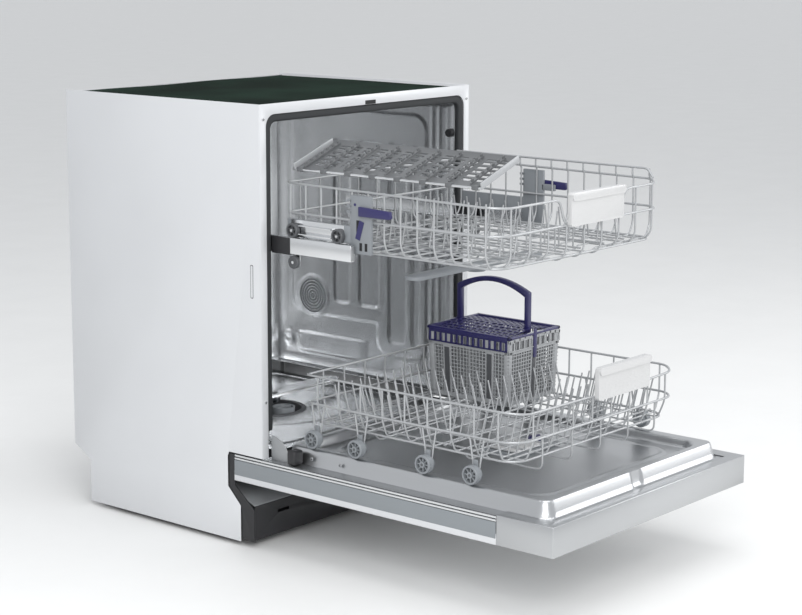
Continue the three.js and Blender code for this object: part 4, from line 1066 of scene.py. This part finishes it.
# Each side slot is a dark grey ring under a plate in the side sheet's colour; the ring's thin dark edge is
# painted shade in the slot's gap.
SLOT_PARTS = [("ring", 0, 0.15 * MM, DARK_GREY), ("plate", 1.1 * MM, 0.3 * MM, SKIN)]
for side, word in ((-1, "l"), (1, "r")):
    wall = side * HALF_W
    for label, inset, proud, material in SLOT_PARTS:
        bm = bmesh.new()
        slot_low = (wall - side * 0.4 * MM, FACE_Y + 19.5 * MM + inset, 0.468 + inset)
        slot_high = (wall + side * proud, FACE_Y + 26.5 * MM - inset, 0.529 - inset)
        x_pair = sorted((slot_low[0], slot_high[0]))
        add_box(bm, (x_pair[0], *slot_low[1:]), (x_pair[1], *slot_high[1:]))
        upright = [e for e in bm.edges if abs((e.verts[0].co - e.verts[1].co).x) > 0.4 * MM]
        bevel(bm, upright, 2.4 * MM, 4)
        piece(f"side_slot_{label}_{word}", bm, material, "cabinet")
    for row, y in enumerate((FACE_Y - 92 * MM, FACE_Y - 160 * MM)):
        screw(f"liner_screw_{row}_{word}", (side * 268.4 * MM, y, FLANGE_Z + 13 * MM), (side, 0, 0),
              3.4 * MM, "door", ZINC)

# The latch mouth in the frame's top bar, a flat dark sheet painted as the shade of its opening, and the small
# round fittings high on the tub walls.
bm = bmesh.new()
add_box(bm, (-15 * MM, FACE_Y - 0.3 * MM, 798.5 * MM), (15 * MM, FACE_Y + 1 * MM, 806 * MM), 0.2 * MM, 1)
piece("latch_mouth", bm, RECESS_SHADE, "cabinet")
for side, word in ((1, "r"), (-1, "l")):
    bm = bmesh.new()
    add_rod(bm, (side * 271.5 * MM, FACE_Y + 24 * MM, 722 * MM),
            (side * 263 * MM, FACE_Y + 24 * MM, 722 * MM), 9 * MM, 28, 7.5 * MM)
    piece(f"wall_fitting_{word}", bm, BLACK, "cabinet")
print("latch and fittings done")

# %% [markdown]
# The vent is a round boss with a louvred grey cover. Rings of falling height turn one disc into louvres.

# %% Vent
vent_low, vent_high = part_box("vent_cover")
vent_mid = (vent_low + vent_high) / 2
bm = bmesh.new()
outer_r = (vent_high.z - vent_low.z) / 2
section = []
LOUVRES = 6
for i in range(LOUVRES):
    r = outer_r * (1 - i / LOUVRES)
    section += [(-1.2 * MM, r), (-3.0 * MM, r - 1.2 * MM), (-3.0 * MM, r - 3.4 * MM), (-1.2 * MM, r - 4.2 * MM)]
section = [(1.4 * MM, outer_r)] + section + [(-1.2 * MM, 0.4 * MM), (1.4 * MM, 0.4 * MM)]
spun(bm, section, vent_mid, (1, 0, 0), 48)
vent = piece("vent_louvres", bm, GREY, "cabinet", ["vent_cover"], degrees=30)
print("vent faces", len(vent.data.polygons))

# %% [markdown]
# Behind each hinge bracket a coil spring carries the door's weight. Its centre line is a helix, and the
# wire helper gives that line its thickness.

# %% Coil springs of the hinges
COILS, PER_COIL = 27, 14
for side, word in ((-1, "left"), (1, "right")):
    low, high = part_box("hinge_bracket_" + word)
    coil = []
    start = Vector((side * 287 * MM, high.y + 14 * MM, low.z + 34 * MM))
    length = 150 * MM
    for i in range(COILS * PER_COIL + 1):
        turn = i / PER_COIL * math.tau
        along_y = length * i / (COILS * PER_COIL)
        coil.append(start + Vector((5 * MM * math.cos(turn) * 0.8, along_y, 6 * MM * math.sin(turn))))
    wire_mesh("hinge_spring_" + word[0], [(coil, 1.8 * MM, 0, False)], POLISHED, "cabinet", sides=1)
print("springs of", COILS, "coils")

# %% [markdown]
# The damping mat on top is bitumen felt. A fine grid with gentle waves and rounded edges keeps its
# upper face from looking like a board.

# %% Damping mat
mat_low, mat_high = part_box("top_mat")
bm = bmesh.new()


def mat_wave(a, b):
    edge = min(a, b, mat_high.x - mat_low.x - a, mat_high.y - mat_low.y - b)
    drop = 3 * MM * (1 - min(edge / (8 * MM), 1)) ** 2
    return 0.7 * MM * math.sin(a * 21) * math.sin(b * 17) - drop - 1 * MM


pressed_sheet(bm, (mat_low.x, mat_low.y, mat_high.z), (1, 0, 0), (0, 1, 0), mat_high.x - mat_low.x,
              mat_high.y - mat_low.y, 110, 96, mat_wave)
skirt = bmesh.ops.extrude_edge_only(bm, edges=[e for e in bm.edges if e.is_boundary])["geom"]
for vertex in (v for v in skirt if isinstance(v, bmesh.types.BMVert)):
    vertex.co.z = mat_low.z + 0.5 * MM
mat_piece = piece("felt_mat", bm, FELT, "cabinet", ["top_mat"], degrees=40)
print("mat", [round(c, 3) for c in mat_piece.dimensions])

# %% [markdown]
# ## Light and camera
# Three large soft lights stand in for windows: one broad light from the front left, one weaker from the
# right and one overhead. The camera has a long lens and looks down 10 degrees. Its small shift only
# moves the object within the frame.

# %% Floor, lights and camera
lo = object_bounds()[0]
floor_bm = bmesh.new()
bmesh.ops.create_grid(floor_bm, x_segments=1, y_segments=1, size=60)
floor_mesh = bpy.data.meshes.new("floor")
floor_bm.to_mesh(floor_mesh)
floor_bm.free()
floor = bpy.data.objects.new("floor", floor_mesh)
floor.location.z = lo.z - 0.0005
floor_finish = finish("pale floor", (0.80, 0.80, 0.79), 0.55, 0.0, 40, bump=0.02, tint=0.01)
floor_mesh.materials.append(floor_finish)
bpy.context.scene.collection.objects.link(floor)


def area(name, at, target, size, power, color=(1, 1, 1)):
    light = bpy.data.lights.new(name, "AREA")
    light.shape = "RECTANGLE"
    light.size, light.size_y = size
    light.energy = power
    light.color = color
    obj = bpy.data.objects.new(name, light)
    obj.location = at
    obj.rotation_euler = (Vector(target) - Vector(at)).to_track_quat("-Z", "Y").to_euler()
    bpy.context.scene.collection.objects.link(obj)
    return obj


middle = (0, -0.1, 0.45)
lamps = [area("window_left", (-2.6, -2.6, 2.1), middle, (2.0, 2.4), 90),
         area("window_right", (2.8, -2.2, 1.7), middle, (1.2, 2.2), 30),
         area("overhead", (0, -0.4, 3.0), middle, (2.4, 2.4), 34)]
world = bpy.data.worlds.new("studio")
world.use_nodes = True
world.node_tree.nodes["Background"].inputs["Color"].default_value = (0.92, 0.94, 0.97, 1)
world.node_tree.nodes["Background"].inputs["Strength"].default_value = 0.8
bpy.context.scene.world = world

target = Vector((0, 0.065, 0.467))
around, above, away = math.radians(-49.25), math.radians(10), 3.809
back_dir = Vector((math.sin(around) * math.cos(above), -math.cos(around) * math.cos(above), math.sin(above)))
camera_data = bpy.data.cameras.new("camera")
camera_data.sensor_width = 36
camera_data.lens = 90.1
camera_data.shift_x = 0.038
camera_data.shift_y = -0.036
camera = bpy.data.objects.new("camera", camera_data)
camera.location = target + back_dir * away
camera.rotation_euler = (-back_dir).to_track_quat("-Z", "Y").to_euler()
bpy.context.scene.collection.objects.link(camera)
bpy.context.scene.camera = camera
bpy.context.scene.view_settings.view_transform = "Standard"
